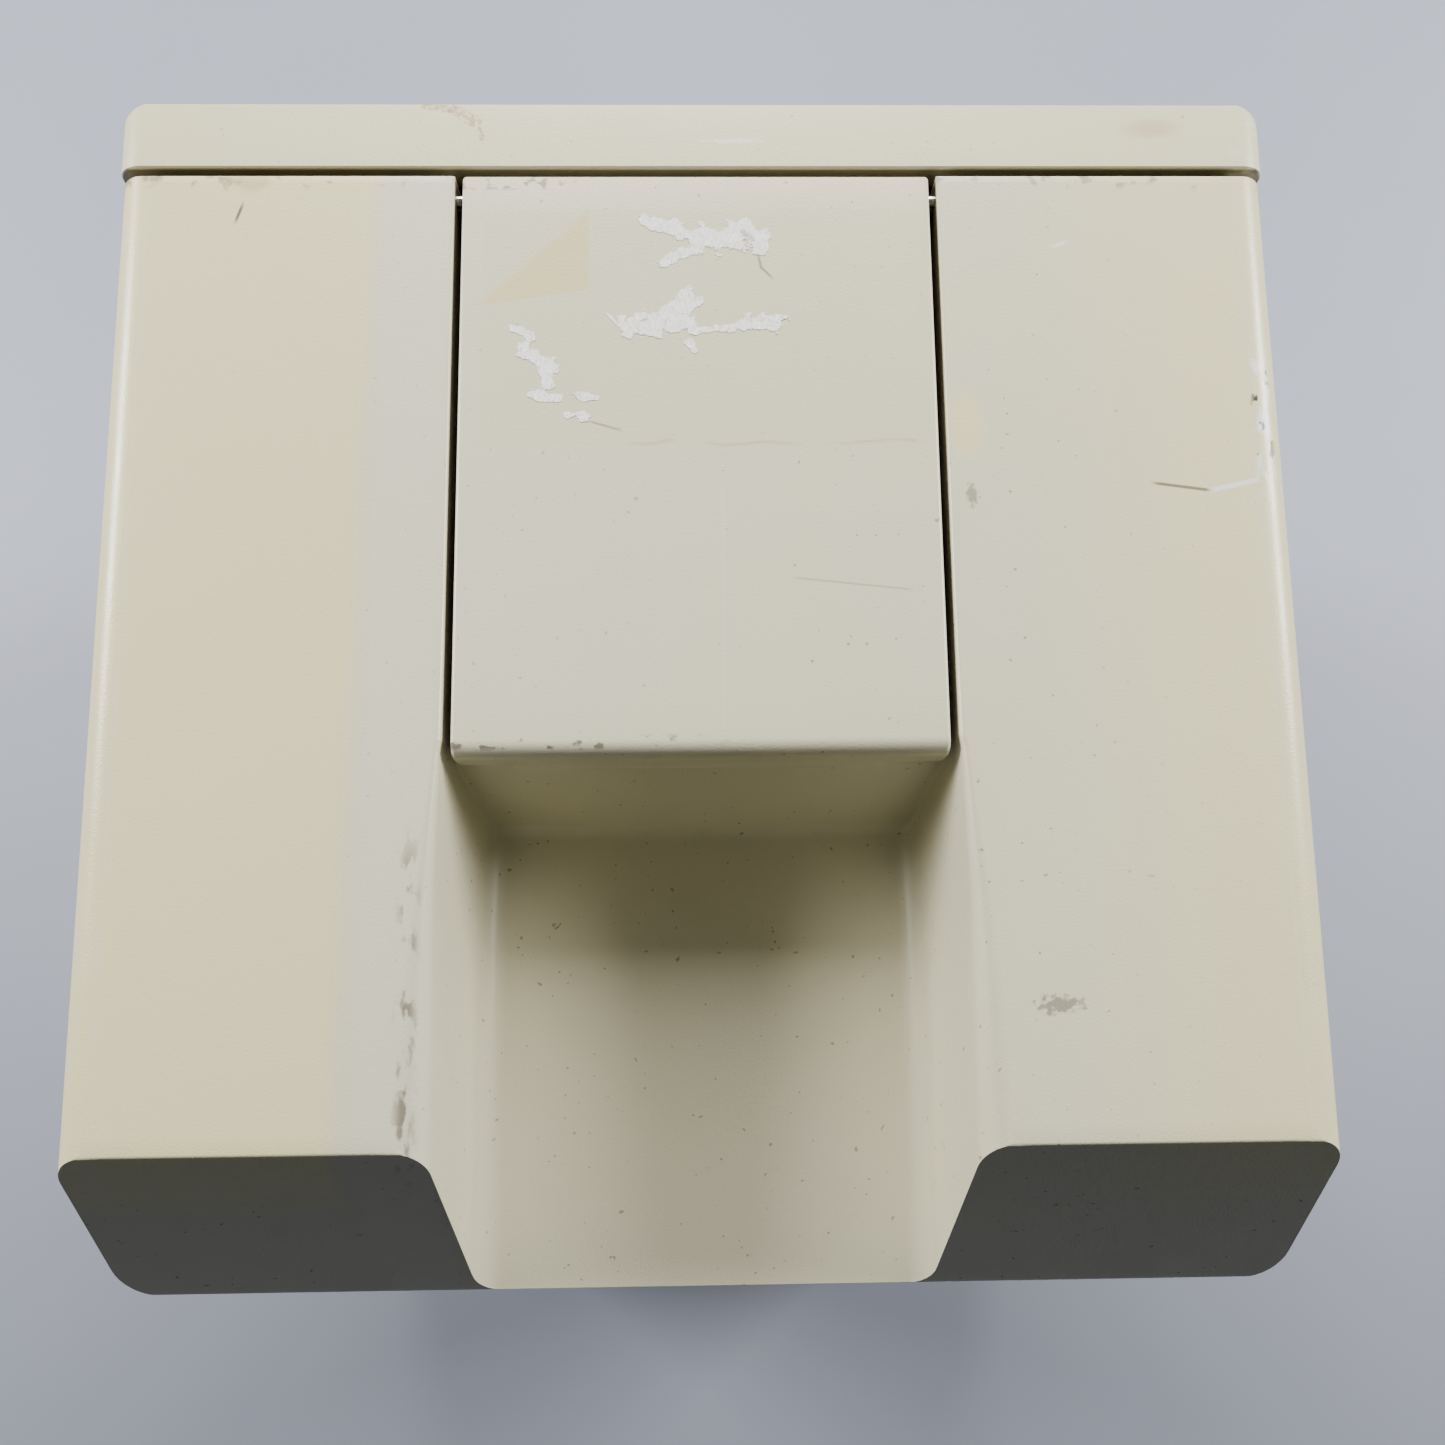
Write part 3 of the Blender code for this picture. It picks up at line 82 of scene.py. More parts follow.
class Finish:
    """A surface finish in nodes: one shader, placed in metres on the piece, with layers over it."""

    def __init__(self, name, colour, roughness, metallic=0.0):
        self.material = bpy.data.materials.new(name)
        self.material.use_nodes = True
        self.tree = self.material.node_tree
        self.shader = self.tree.nodes["Principled BSDF"]
        self.shader.inputs["Base Color"].default_value = colour
        self.shader.inputs["Roughness"].default_value = roughness
        self.shader.inputs["Metallic"].default_value = metallic
        self.colour = colour
        self.place = self.tree.nodes.new("ShaderNodeTexCoord").outputs["Object"]
        apart = self.tree.nodes.new("ShaderNodeSeparateXYZ")
        self.tree.links.new(self.place, apart.inputs[0])
        self.x, self.y, self.z = apart.outputs

    def add(self, kind, *values, give=0, **settings):
        """A node of that kind, its inputs set or joined in order, None left alone. Returns one output."""
        made = self.tree.nodes.new("ShaderNode" + kind)
        for key, value in settings.items():
            setattr(made, key, value)
        for socket, value in zip(made.inputs, values):
            if isinstance(value, bpy.types.NodeSocket):
                self.tree.links.new(value, socket)
            elif value is not None:
                socket.default_value = value
        return made.outputs[give]

    def math(self, operation, a, b=0.0, c=0.0):
        return self.add("Math", a, b, c, operation=operation)

    def length(self, a, b):
        """The length of the line with those two parts at right angles."""
        return self.math("SQRT", self.math("ADD", self.math("MULTIPLY", a, a), self.math("MULTIPLY", b, b)))

    def ramp(self, value, low, high):
        """0 below low and 1 above high, eased between; with low above high it falls instead."""
        if low > high:
            return self.math("SUBTRACT", 1.0, self.ramp(value, high, low))
        return self.add("MapRange", value, low, high, 0.0, 1.0, interpolation_type="SMOOTHSTEP")

    def noise(self, scale, detail=2.0, stretch=(1, 1, 1), shift=(0, 0, 0)):
        """Cloudy noise with that many cells a metre, longer along an axis whose stretch is under 1."""
        place = self.add("Mapping", self.place, shift, (0, 0, 0), stretch)
        return self.add("TexNoise", place, None, scale, detail)

    def speckle(self, scale, low, high, detail=2.0, stretch=(1, 1, 1), shift=(0, 0, 0)):
        return self.ramp(self.noise(scale, detail, stretch, shift), low, high)

    def all_of(self, *masks):
        total = masks[0]
        for mask in masks[1:]:
            total = self.math("MULTIPLY", total, mask)
        return total

    def between(self, value, low, high, soft):
        """1 from low to high and 0 outside, over a soft edge."""
        above = self.ramp(value, low - soft, low + soft)
        return self.all_of(above, self.ramp(value, high + soft, high - soft))

    def patch(self, centre, size, soft=0.35, ragged=0.0, grain=120.0):
        """An oval spot on the top: distance from its centre in its half sizes, with ragged noise added."""
        across = self.math("DIVIDE", self.math("SUBTRACT", self.x, centre[0]), size[0])
        along = self.math("DIVIDE", self.math("SUBTRACT", self.y, centre[1]), size[1])
        far = self.length(across, along)
        if ragged:
            rough = self.math("MULTIPLY_ADD", self.noise(grain, 4.0), 2 * ragged, -ragged)
            far = self.math("ADD", far, rough)
        return self.ramp(far, 1.0, 1.0 - soft)

    def smear(self, start, end, width, ragged=0.6, grain=260.0):
        """A round-ended mark on the top: distance to its line in widths, with ragged noise added."""
        run = (end[0] - start[0], end[1] - start[1])
        square = run[0] ** 2 + run[1] ** 2
        dx = self.math("SUBTRACT", self.x, start[0])
        dy = self.math("SUBTRACT", self.y, start[1])
        dot = self.math("ADD", self.math("MULTIPLY", dx, run[0]), self.math("MULTIPLY", dy, run[1]))
        share = self.add("Clamp", self.math("DIVIDE", dot, square), 0.0, 1.0)
        off_x = self.math("SUBTRACT", dx, self.math("MULTIPLY", share, run[0]))
        off_y = self.math("SUBTRACT", dy, self.math("MULTIPLY", share, run[1]))
        far = self.length(off_x, off_y)
        rough = self.math("MULTIPLY_ADD", self.noise(grain, 5.0), 2 * ragged, -ragged)
        return self.ramp(self.math("ADD", self.math("DIVIDE", far, width), rough), 1.0, 0.75)

    def stroke(self, start, end, width, soft=0.0004):
        """A thin mark on the top from start to end: near its line, and between its ends."""
        run = (end[0] - start[0], end[1] - start[1])
        length = math.hypot(*run)
        dx = self.math("SUBTRACT", self.x, start[0])
        dy = self.math("SUBTRACT", self.y, start[1])
        ahead, aside = run[0] / length, run[1] / length
        along = self.math("ADD", self.math("MULTIPLY", dx, ahead), self.math("MULTIPLY", dy, aside))
        off = self.math("SUBTRACT", self.math("MULTIPLY", dx, aside), self.math("MULTIPLY", dy, ahead))
        near = self.ramp(self.math("ABSOLUTE", off), width + soft, width)
        return self.all_of(near, self.between(along, 0.0, length, 0.002))

    def lay(self, mask, colour, strength=1.0):
        """Lays a colour over what is there, where the mask is."""
        if strength != 1.0:
            mask = self.math("MULTIPLY", mask, strength)
        mixed = self.tree.nodes.new("ShaderNodeMix")
        mixed.data_type = "RGBA"
        self.tree.links.new(mask, mixed.inputs[0])
        for socket, value in ((mixed.inputs[6], self.colour), (mixed.inputs[7], colour)):
            if isinstance(value, bpy.types.NodeSocket):
                self.tree.links.new(value, socket)
            else:
                socket.default_value = value
        self.colour = mixed.outputs[2]
        self.tree.links.new(self.colour, self.shader.inputs["Base Color"])

    def relief(self, height, strength, depth):
        """Raises and sinks the shaded surface by a height pattern, on top of any relief before it."""
        made = self.tree.nodes.new("ShaderNodeBump")
        made.inputs["Strength"].default_value = strength
        made.inputs["Distance"].default_value = depth
        self.tree.links.new(height, made.inputs["Height"])
        before = self.shader.inputs["Normal"].links
        if before:
            self.tree.links.new(before[0].from_socket, made.inputs["Normal"])
        self.tree.links.new(made.outputs["Normal"], self.shader.inputs["Normal"])

    def gloss(self, value, low, high):
        """Roughness from low to high as the pattern goes from 0 to 1."""
        rough = self.add("MapRange", value, 0.0, 1.0, low, high)
        self.tree.links.new(rough, self.shader.inputs["Roughness"])


def sprayed_beige(name):
    """Beige spray over foam: clouds of tone, pin specks, the pebbled skin and an uneven satin gloss."""
    finish = Finish(name, BEIGE, 0.42)
    finish.lay(finish.speckle(9, 0.35, 0.75, 3.0), BEIGE_YELLOWED, 0.22)
    finish.lay(finish.speckle(26, 0.50, 0.80, 4.0, shift=(3, 1, 0)), BEIGE_PALE_AND_HIGHLIGHT, 0.30)
    finish.lay(finish.speckle(420, 0.735, 0.775, 1.0), GRIME_AND_GAP_SHADE, 0.55)
    finish.lay(finish.speckle(150, 0.765, 0.790, 2.0, shift=(7, 2, 5)), GRIME_AND_GAP_SHADE, 0.45)
    finish.gloss(finish.noise(45, 5.0), 0.24, 0.42)
    finish.relief(finish.noise(1300, 2.0), 0.32, 0.00024)
    finish.relief(finish.noise(14, 2.0), 0.10, 0.0016)
    return finish


def skin(name, points, keep=None, wall=0.0, crease=38):
    """Joins a grid of points, rows by columns, into quads: each point with its neighbour in the row and the
    two in the next row. Points in one place are merged, faces turned outwards, and a wall grown inwards."""
    rows, columns = points.shape[:2]
    index = np.arange(rows * columns).reshape(rows, columns)
    quads = np.stack((index[:-1, :-1], index[:-1, 1:], index[1:, 1:], index[1:, :-1]), axis=-1)
    quads = quads.reshape(-1, 4) if keep is None else quads[keep]
    mesh = bpy.data.meshes.new(name)
    mesh.from_pydata(points.reshape(-1, 3).tolist(), [], quads.tolist())
    shape = bmesh.new()
    shape.from_mesh(mesh)
    bmesh.ops.remove_doubles(shape, verts=shape.verts, dist=2e-6)
    bmesh.ops.dissolve_degenerate(shape, edges=shape.edges, dist=2e-6)
    bmesh.ops.recalc_face_normals(shape, faces=shape.faces)
    shape.to_mesh(mesh)
    shape.free()
    mesh.shade_smooth()
    mesh.set_sharp_from_angle(angle=math.radians(crease))
    piece = bpy.data.objects.new(name, mesh)
    bpy.context.scene.collection.objects.link(piece)
    if wall:
        thick = piece.modifiers.new("wall", "SOLIDIFY")
        thick.thickness = wall
        thick.offset = -1
    return piece


def fit(piece, finish, body, *nodes):
    """Gives a piece its finish, hangs it on a body, and lets it stand for the nodes it was made from."""
    piece.data.materials.clear()
    piece.data.materials.append(finish.material)
    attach(piece, body)
    if nodes:
        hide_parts(*nodes)


def hood_stations():
    """Rows from the rim to the rear, each (y, top height, floor height, half width, channel half width,
    draft, inner edge radius, floor fillet). The slope is a straight line from rim to crease, and the half
    width follows a quarter circle round each front corner. The floor falls a little, turns up in an arc and
    leans back as the bulkhead, then steps over the ledge into the well and out again."""
    slope = (TOP - HOOD_RIM) / (HOOD_CREASE - HOOD_FRONT)
    turn = np.radians(np.linspace(12, 90, 8))
    corner = HOOD_FRONT + HOOD_CORNER * (1 - np.cos(turn))
    dip = np.radians(np.linspace(88, 20, 11))
    round_off = HOOD_CREASE - HOOD_CORNER * (1 - np.cos(dip)) / slope
    climb = np.concatenate((np.linspace(HOOD_FRONT + HOOD_CORNER, round_off[0], 7)[1:-1], round_off))
    bend = HOOD_CREASE + np.array([-0.0002, 0.0002, 0.0006])
    reach = BULKHEAD_FILLET * math.tan((math.pi / 2 - BULKHEAD_LEAN) / 2)
    floor_end = CHANNEL_FLOOR - CHANNEL_FALL
    along = np.linspace(HOOD_CREASE + 0.006, BULKHEAD_FOOT - reach, 12)
    swing = np.radians(np.linspace(-90, -math.degrees(BULKHEAD_LEAN), 8))[1:]
    arc_y = BULKHEAD_FOOT - reach + BULKHEAD_FILLET * np.cos(swing)
    arc_z = floor_end + BULKHEAD_FILLET * (1 + np.sin(swing))
    rise_z = np.linspace(arc_z[-1], WELL_LEDGE - 0.0006, 9)[1:]
    rise_y = arc_y[-1] + (rise_z - arc_z[-1]) * math.tan(BULKHEAD_LEAN)
    ledge_y = np.array([BULKHEAD_EDGE + 0.0005, WELL_FRONT - 0.0005, WELL_FRONT])
    ledge_z = np.array([WELL_LEDGE, WELL_LEDGE, WELL_LEDGE - 0.0006])
    hole_y = np.linspace(DRIVE_HOLE[1], DRIVE_HOLE[2], 9)[1:]
    well_y = np.concatenate(([WELL_FRONT + 1e-5, DRIVE_HOLE[1]], hole_y, [WELL_BACK - 1e-5]))
    end_y = np.array([WELL_BACK, WELL_BACK + 0.0006, HOOD_REAR - 0.0008, HOOD_REAR - 0.0002, HOOD_REAR])
    y = np.concatenate(
        ([HOOD_FRONT, HOOD_FRONT], corner, climb, bend, along, arc_y, rise_y, ledge_y, well_y, end_y)
    )
    top = np.minimum(TOP, HOOD_RIM + (y - HOOD_FRONT) * slope)
    top[0] = HOOD_UNDER
    top[1] = HOOD_RIM - 0.0006
    crease = len(corner) + len(climb) + 2
    top[crease : crease + 3] = TOP - np.array([0.00030, 0.00008, 0.0])
    top[-2:] = TOP - np.array([0.0002, 0.0008])
    half = np.full(len(y), HOOD_HALF)
    half[:2] = HOOD_HALF - HOOD_CORNER
    half[2 : 2 + len(corner)] = HOOD_HALF - HOOD_CORNER + HOOD_CORNER * np.sin(turn)
    plain = len(y) - len(arc_y) - len(rise_y) - len(ledge_y) - len(well_y) - len(end_y)
    fall = CHANNEL_FALL * (y[:plain] - HOOD_FRONT) / (BULKHEAD_FOOT - HOOD_FRONT)
    floor = np.concatenate(
        (
            CHANNEL_FLOOR - fall,
            arc_z,
            rise_z,
            ledge_z,
            np.full(len(well_y), WELL_FLOOR),
            [WELL_LEDGE - 0.0006, WELL_LEDGE, WELL_LEDGE, WELL_LEDGE - 0.0002, WELL_LEDGE - 0.0008],
        )
    )
    floor = np.minimum(floor, top)
    inner_y = [HOOD_CREASE, -0.100, -0.0605, -0.026, 0.020, HOOD_REAR]
    inner = np.interp(y, inner_y, [0.0104, 0.0088, 0.0052, 0.0024, 0.0013, 0.0010])
    wall = np.interp(y, [-0.070, BULKHEAD_EDGE, WELL_FRONT], [CHANNEL_HALF, 0.0803, WELL_HALF])
    draft = np.interp(y, [BULKHEAD_EDGE, WELL_FRONT], [CHANNEL_DRAFT, 0.0])
    fillet_y = [BULKHEAD_FOOT - reach, BULKHEAD_FOOT + 0.006, WELL_FRONT]
    fillet = np.interp(y, fillet_y, [CHANNEL_FILLET, 0.0030, 0.0008])
    return y, top, floor, half, wall, draft, inner, fillet


def hood_grid():
    """Half a section at each station, then its mirror: up the side, round the outer edge by a quarter
    circle, level across the shoulder, round the inner edge, down the sloped channel wall, round the fillet
    and along the floor. What would stand above the station's top height is cut level with it, which gives
    the flat sloped front."""
    y, top, floor, half, wall, draft, inner, fillet = (a[:, None] for a in hood_stations())
    lean = np.arctan(draft)
    radius = HOOD_CORNER
    side_top = np.minimum(top, TOP - radius)
    side_z = HOOD_UNDER + (side_top - HOOD_UNDER) * np.array([0.0, 1.0])
    side_x = half + 0 * side_z
    open_turn = np.arcsin(np.clip((top - TOP + radius) / radius, 0, 1))
    turn = open_turn * np.linspace(0, 1, 9)[1:]
    edge_x = half - radius + radius * np.cos(turn)
    edge_z = np.where(open_turn > 0, TOP - radius + radius * np.sin(turn), side_top)
    out_x = edge_x[:, -1:]

    def wall_x(z):
        return wall - (TOP - z) * draft

    centre = wall_x(TOP - inner) + inner / np.cos(lean)
    first = np.arccos(np.clip((top - TOP + inner) / inner, -1, 1))
    first = np.minimum(first, np.pi / 2 - lean)
    swing = first + (np.pi / 2 - lean - first) * np.linspace(0, 1, 9)
    in_x = centre - inner * np.sin(swing)
    in_z = TOP - inner + inner * np.cos(swing)
    foot_x = wall_x(floor + fillet) - fillet / np.cos(lean)
    low = np.minimum(in_z[:, -1:], top)
    high = np.minimum(floor + fillet * (1 - np.sin(lean)), low)
    bowl_start = np.arcsin(np.clip((floor + fillet - np.minimum(high, top)) / fillet, -1, 1))
    bowl = bowl_start + (np.pi / 2 - bowl_start) * np.linspace(0, 1, 9)
    bowl_x = foot_x + fillet * np.cos(bowl)
    bowl_z = np.minimum(floor + fillet * (1 - np.sin(bowl)), top)
    clipped = in_z > top + 1e-9
    level_x = np.where(low > high + 1e-9, wall_x(low), bowl_x[:, :1])
    in_x = np.where(clipped, level_x, in_x)
    in_z = np.minimum(in_z, top)
    gap_x = np.minimum(in_x[:, :1], out_x)
    shoulder_x = out_x + (gap_x - out_x) * np.linspace(0, 1, 13)[1:-1]
    shoulder_z = top + 0 * shoulder_x
    down_z = low + (high - low) * np.linspace(0, 1, 6)[1:-1]
    down_x = np.where(low > high + 1e-9, wall_x(down_z), bowl_x[:, :1])
    share = np.array([0.0523, 0.3, 0.6, 1.0])
    floor_x = bowl_x[:, -1:] * (1 - share)
    floor_z = floor + 0 * floor_x
    x = np.hstack((side_x, edge_x, shoulder_x, in_x, down_x, bowl_x, floor_x))
    z = np.hstack((side_z, edge_z, shoulder_z, in_z, down_z, bowl_z, floor_z))
    x = np.hstack((x, -x[:, -2::-1]))
    z = np.hstack((z, z[:, -2::-1]))
    return np.stack((x, y + 0 * x, z), axis=-1)


hood_points = hood_grid()
middle = (hood_points[:-1, :-1] + hood_points[1:, 1:]) / 2
over_drives = (
    (abs(middle[..., 0]) < DRIVE_HOLE[0])
    & (middle[..., 1] > DRIVE_HOLE[1])
    & (middle[..., 1] < DRIVE_HOLE[2])
    & (middle[..., 2] < WELL_FLOOR + 0.001)
)
hood = skin("hood_moulding", hood_points, keep=~over_drives, wall=HOOD_WALL)
hood_finish = sprayed_beige("hood_beige")
left_line = hood_finish.math("MULTIPLY_ADD", hood_finish.y, 0.0144, -0.1074)
left_of_line = hood_finish.ramp(hood_finish.math("SUBTRACT", hood_finish.x, left_line), 0.004, -0.004)
on_top = hood_finish.ramp(hood_finish.z, 0.470, 0.490)
hood_finish.lay(hood_finish.all_of(left_of_line, on_top), BEIGE_YELLOWED, 0.85)
right_yellow = hood_finish.all_of(hood_finish.ramp(hood_finish.x, 0.100, 0.165), on_top)
hood_finish.lay(right_yellow, BEIGE_YELLOWED, 0.65)
hood_finish.lay(hood_finish.between(hood_finish.x, -0.104, -0.0805, 0.003), BEIGE_PALE_AND_HIGHLIGHT, 0.55)
from_middle = hood_finish.math("ABSOLUTE", hood_finish.x)
# painted highlight: a thin pale line on the top where it meets the outer rounded edge
edge_highlight_distance = hood_finish.math("ABSOLUTE", hood_finish.math("SUBTRACT", from_middle, 0.1788))
hood_finish.lay(hood_finish.all_of(hood_finish.ramp(edge_highlight_distance, 0.0006, 0.0002), on_top), BEIGE_PALE_AND_HIGHLIGHT, 0.6)
in_gap = hood_finish.all_of(
    hood_finish.ramp(hood_finish.y, -0.030, -0.010),
    hood_finish.between(from_middle, 0.060, 0.0797, 0.0001),
    hood_finish.ramp(hood_finish.z, 0.4990, 0.4960),
)
hood_finish.lay(in_gap, SLOT_DIRT, 0.90)
edge_dirt = hood_finish.all_of(
    hood_finish.between(hood_finish.x, -0.0905, -0.0855, 0.0022),
    hood_finish.between(hood_finish.y, -0.148, -0.054, 0.010),
    hood_finish.speckle(230, 0.50, 0.62, 5.0, (1, 0.45, 1)),
)
hood_finish.lay(edge_dirt, GRIME_AND_GAP_SHADE, 0.75)
# painted shade of the gap to the rear bezel: patchy darkening along the hood's rear edge
rear_gap_shade = hood_finish.all_of(
    hood_finish.ramp(hood_finish.y, 0.158, 0.168), hood_finish.speckle(160, 0.58, 0.68, 5.0)
)
hood_finish.lay(rear_gap_shade, GRIME_AND_GAP_SHADE, 0.6)
hood_finish.lay(hood_finish.patch((0.0862, 0.0802), (0.0075, 0.0140), 0.5, 0.25), BEIGE_YELLOWED, 0.9)
hood_finish.lay(hood_finish.patch((-0.1455, 0.1660), (0.010, 0.006), 0.6, 0.6), (0.50, 0.38, 0.20, 1), 0.5)
hood_finish.lay(hood_finish.patch((0.106, -0.102), (0.008, 0.003), 0.5, 1.2, 500), RUB_BLACK, 0.55)
hood_finish.lay(hood_finish.patch((0.0865, 0.057), (0.002, 0.005), 0.5, 0.8, 600), RUB_BLACK, 0.5)
rub = hood_finish.all_of(
    hood_finish.between(hood_finish.y, 0.056, 0.104, 0.004),
    hood_finish.between(hood_finish.x, 0.1785, 0.1850, 0.0012),
)
hood_finish.lay(hood_finish.all_of(rub, hood_finish.speckle(260, 0.52, 0.60, 5.0, (1, 0.4, 1))), CHIPPED, 0.9)
rubbed = hood_finish.speckle(300, 0.60, 0.64, 5.0, (1, 0.5, 1), (2, 0, 0))
hood_finish.lay(hood_finish.all_of(rub, rubbed), RUB_BLACK, 0.95)
hood_finish.lay(hood_finish.stroke((0.145, 0.0605), (0.163, 0.0580), 0.0003), GRIME_AND_GAP_SHADE, 0.8)
hood_finish.lay(hood_finish.stroke((0.163, 0.0580), (0.1785, 0.0615), 0.0006), CHIPPED, 0.9)
hood_finish.lay(hood_finish.stroke((-0.1500, 0.1510), (-0.1480, 0.1570), 0.0003), RUB_BLACK, 0.8)
hood_finish.lay(hood_finish.stroke((0.117, 0.142), (0.121, 0.1435), 0.0005), CHIPPED, 0.8)
fit(hood, hood_finish, "case", "hood")

# --- lid --------------------------------------------------------------------------------------
# A moulded lid lies between the shoulders over the drive faces. It turns on a steel pin through
# the roll at its rear, its front is a rounded nose with a finger lip below, and its top still has
# the leavings of torn-off paper and tape.

LID_HALF = 0.0768
LID_FRONT = -0.02615
LID_UNDER = 0.4844
LID_SIDE_UNDER = 0.492
LID_NOSE = 0.0055
LID_WALL = 0.003
LID_SKIN = 0.0023
LID_ROLL = 0.006
LID_PIVOT = (0.16145, 0.494)
LID_REAR = 0.16745
LID_REAR_ROUND = 0.0014
LID_EASE = 0.0013
LIP_HALF = 0.0478
LIP_DROP = 0.0020
LIP_REACH = 0.0012


def lid_grid():
    """A profile from front to rear, carried from side to side. It goes straight up the front, round the
    nose by a quarter circle, level to the rear edge, down behind the hinge and round below its roll. Towards
    each side it shrinks along a quarter circle, then the side goes down to the flange. The lip is an eased
    bulge on the lower front, and drops by the cube of that ease, so that its ends clear the bulkhead."""
    up = np.linspace(LID_UNDER, TOP - LID_NOSE, 7)
    nose = np.radians(np.linspace(180, 90, 11))
    heel = np.radians(np.linspace(90, 0, 7))
    roll = np.radians(np.linspace(0, -120, 12))
    flat = np.linspace(LID_FRONT + LID_NOSE, LID_REAR - LID_REAR_ROUND, 14)[1:-1]
    y = np.concatenate(
        (
            np.full(6, LID_FRONT),
            LID_FRONT + LID_NOSE * (1 + np.cos(nose)),
            flat,
            LID_REAR - LID_REAR_ROUND * (1 - np.cos(heel)),
            LID_PIVOT[0] + LID_ROLL * np.cos(roll),
        )
    )
    z = np.concatenate(
        (
            up[:-1],
            TOP - LID_NOSE + LID_NOSE * np.sin(nose),
            np.full(12, TOP),
            TOP - LID_REAR_ROUND * (1 - np.sin(heel)),
            LID_PIVOT[1] + LID_ROLL * np.sin(roll),
        )
    )
    normal_y = np.concatenate((np.full(6, -1.0), np.cos(nose), np.zeros(12), np.cos(heel), np.cos(roll)))
    normal_z = np.concatenate((np.zeros(6), np.sin(nose), np.ones(12), np.sin(heel), np.sin(roll)))
    flange_y = np.concatenate((np.full(17, LID_FRONT + LID_WALL), flat, np.full(19, LID_PIVOT[0])))
    flange_z = np.concatenate((up[:-1], np.full(23, LID_SIDE_UNDER), np.full(19, LID_PIVOT[1])))
    flange_y = np.minimum(flange_y, LID_PIVOT[0])
    turn = np.radians(np.linspace(90, 0, 7))
    shrink = np.concatenate((LID_EASE * (1 - np.cos(turn)), np.zeros(7)))
    inward = [0.066, 0.0525, 0.0500, 0.0475, 0.0450, 0.0425, 0.0]
    x = np.concatenate((LID_HALF - LID_EASE * (1 - np.sin(turn)), inward))
    grid_y = y[:, None] - normal_y[:, None] * shrink
    grid_z = z[:, None] - normal_z[:, None] * shrink
    depth = np.linspace(1, 0, 4)[:-1]
    side_y = grid_y[:, :1] + (flange_y[:, None] - grid_y[:, :1]) * depth
    side_z = grid_z[:, :1] + (np.minimum(flange_z[:, None], grid_z[:, :1]) - grid_z[:, :1]) * depth
    grid_x = np.broadcast_to(np.concatenate((np.full(3, LID_HALF), x)), (len(y), len(x) + 3))
    grid_y = np.hstack((side_y, grid_y))
    grid_z = np.hstack((side_z, grid_z))
    across = np.clip((LIP_HALF + 0.005 - grid_x) / 0.010, 0, 1)
    across = across * across * (3 - 2 * across)
    below = np.clip((LID_UNDER + 0.006 - z) / 0.006, 0, 1)[:, None] * (y < LID_FRONT + 1e-6)[:, None]
    grid_y = grid_y - LIP_REACH * across * np.sqrt(below)
    grid_z = grid_z - LIP_DROP * across**3 * below
    grid_x = np.hstack((grid_x, -grid_x[:, -2::-1]))
    grid_y = np.hstack((grid_y, grid_y[:, -2::-1]))
    grid_z = np.hstack((grid_z, grid_z[:, -2::-1]))
    return np.stack((grid_x, grid_y, grid_z), axis=-1)


lid = skin("lid_moulding", lid_grid(), wall=LID_SKIN)
lid_finish = sprayed_beige("lid_beige")
lid_top = lid_finish.ramp(lid_finish.z, 0.4980, 0.4990)
lid_finish.lay(lid_finish.ramp(lid_finish.x, 0.05, -0.07), BEIGE_PALE_AND_HIGHLIGHT, 0.35)
uneven = lid_finish.math("ADD", lid_finish.y, lid_finish.math("MULTIPLY", lid_finish.noise(30, 2.0), 0.006))
band = lid_finish.all_of(
    lid_finish.ramp(uneven, 0.0760, 0.0775),
    lid_finish.ramp(lid_finish.y, 0.1560, 0.1545),
    lid_finish.ramp(lid_finish.x, -0.0700, -0.0690),
    lid_top,
)
lid_finish.lay(band, (0.640, 0.600, 0.405, 1), 0.50)
wavy = lid_finish.math("ADD", lid_finish.y, lid_finish.math("MULTIPLY", lid_finish.noise(40, 3.0), 0.007))
band_edge = lid_finish.all_of(
    lid_finish.between(wavy, 0.0775, 0.0785, 0.0005),
    lid_finish.ramp(lid_finish.x, -0.035, -0.010),
    lid_finish.speckle(60, 0.40, 0.55, 3.0),
    lid_top,
)
lid_finish.lay(band_edge, (0.46, 0.40, 0.23, 1), 0.55)
tape_steep = lid_finish.math("SUBTRACT", lid_finish.y, lid_finish.math("MULTIPLY", lid_finish.x, 0.943))
tape_level = lid_finish.math("SUBTRACT", lid_finish.y, lid_finish.math("MULTIPLY", lid_finish.x, 0.154))
tape_corner = lid_finish.all_of(
    lid_finish.ramp(tape_steep, 0.1905, 0.1865),
    lid_finish.ramp(lid_finish.x, -0.0345, -0.0360),
    lid_finish.ramp(tape_level, 0.1318, 0.1330),
    lid_top,
)
lid_finish.lay(tape_corner, (0.660, 0.560, 0.270, 1), 0.75)
fibres = lid_finish.speckle(900, 0.28, 0.44, 4.0, (1, 0.30, 1))
torn = None
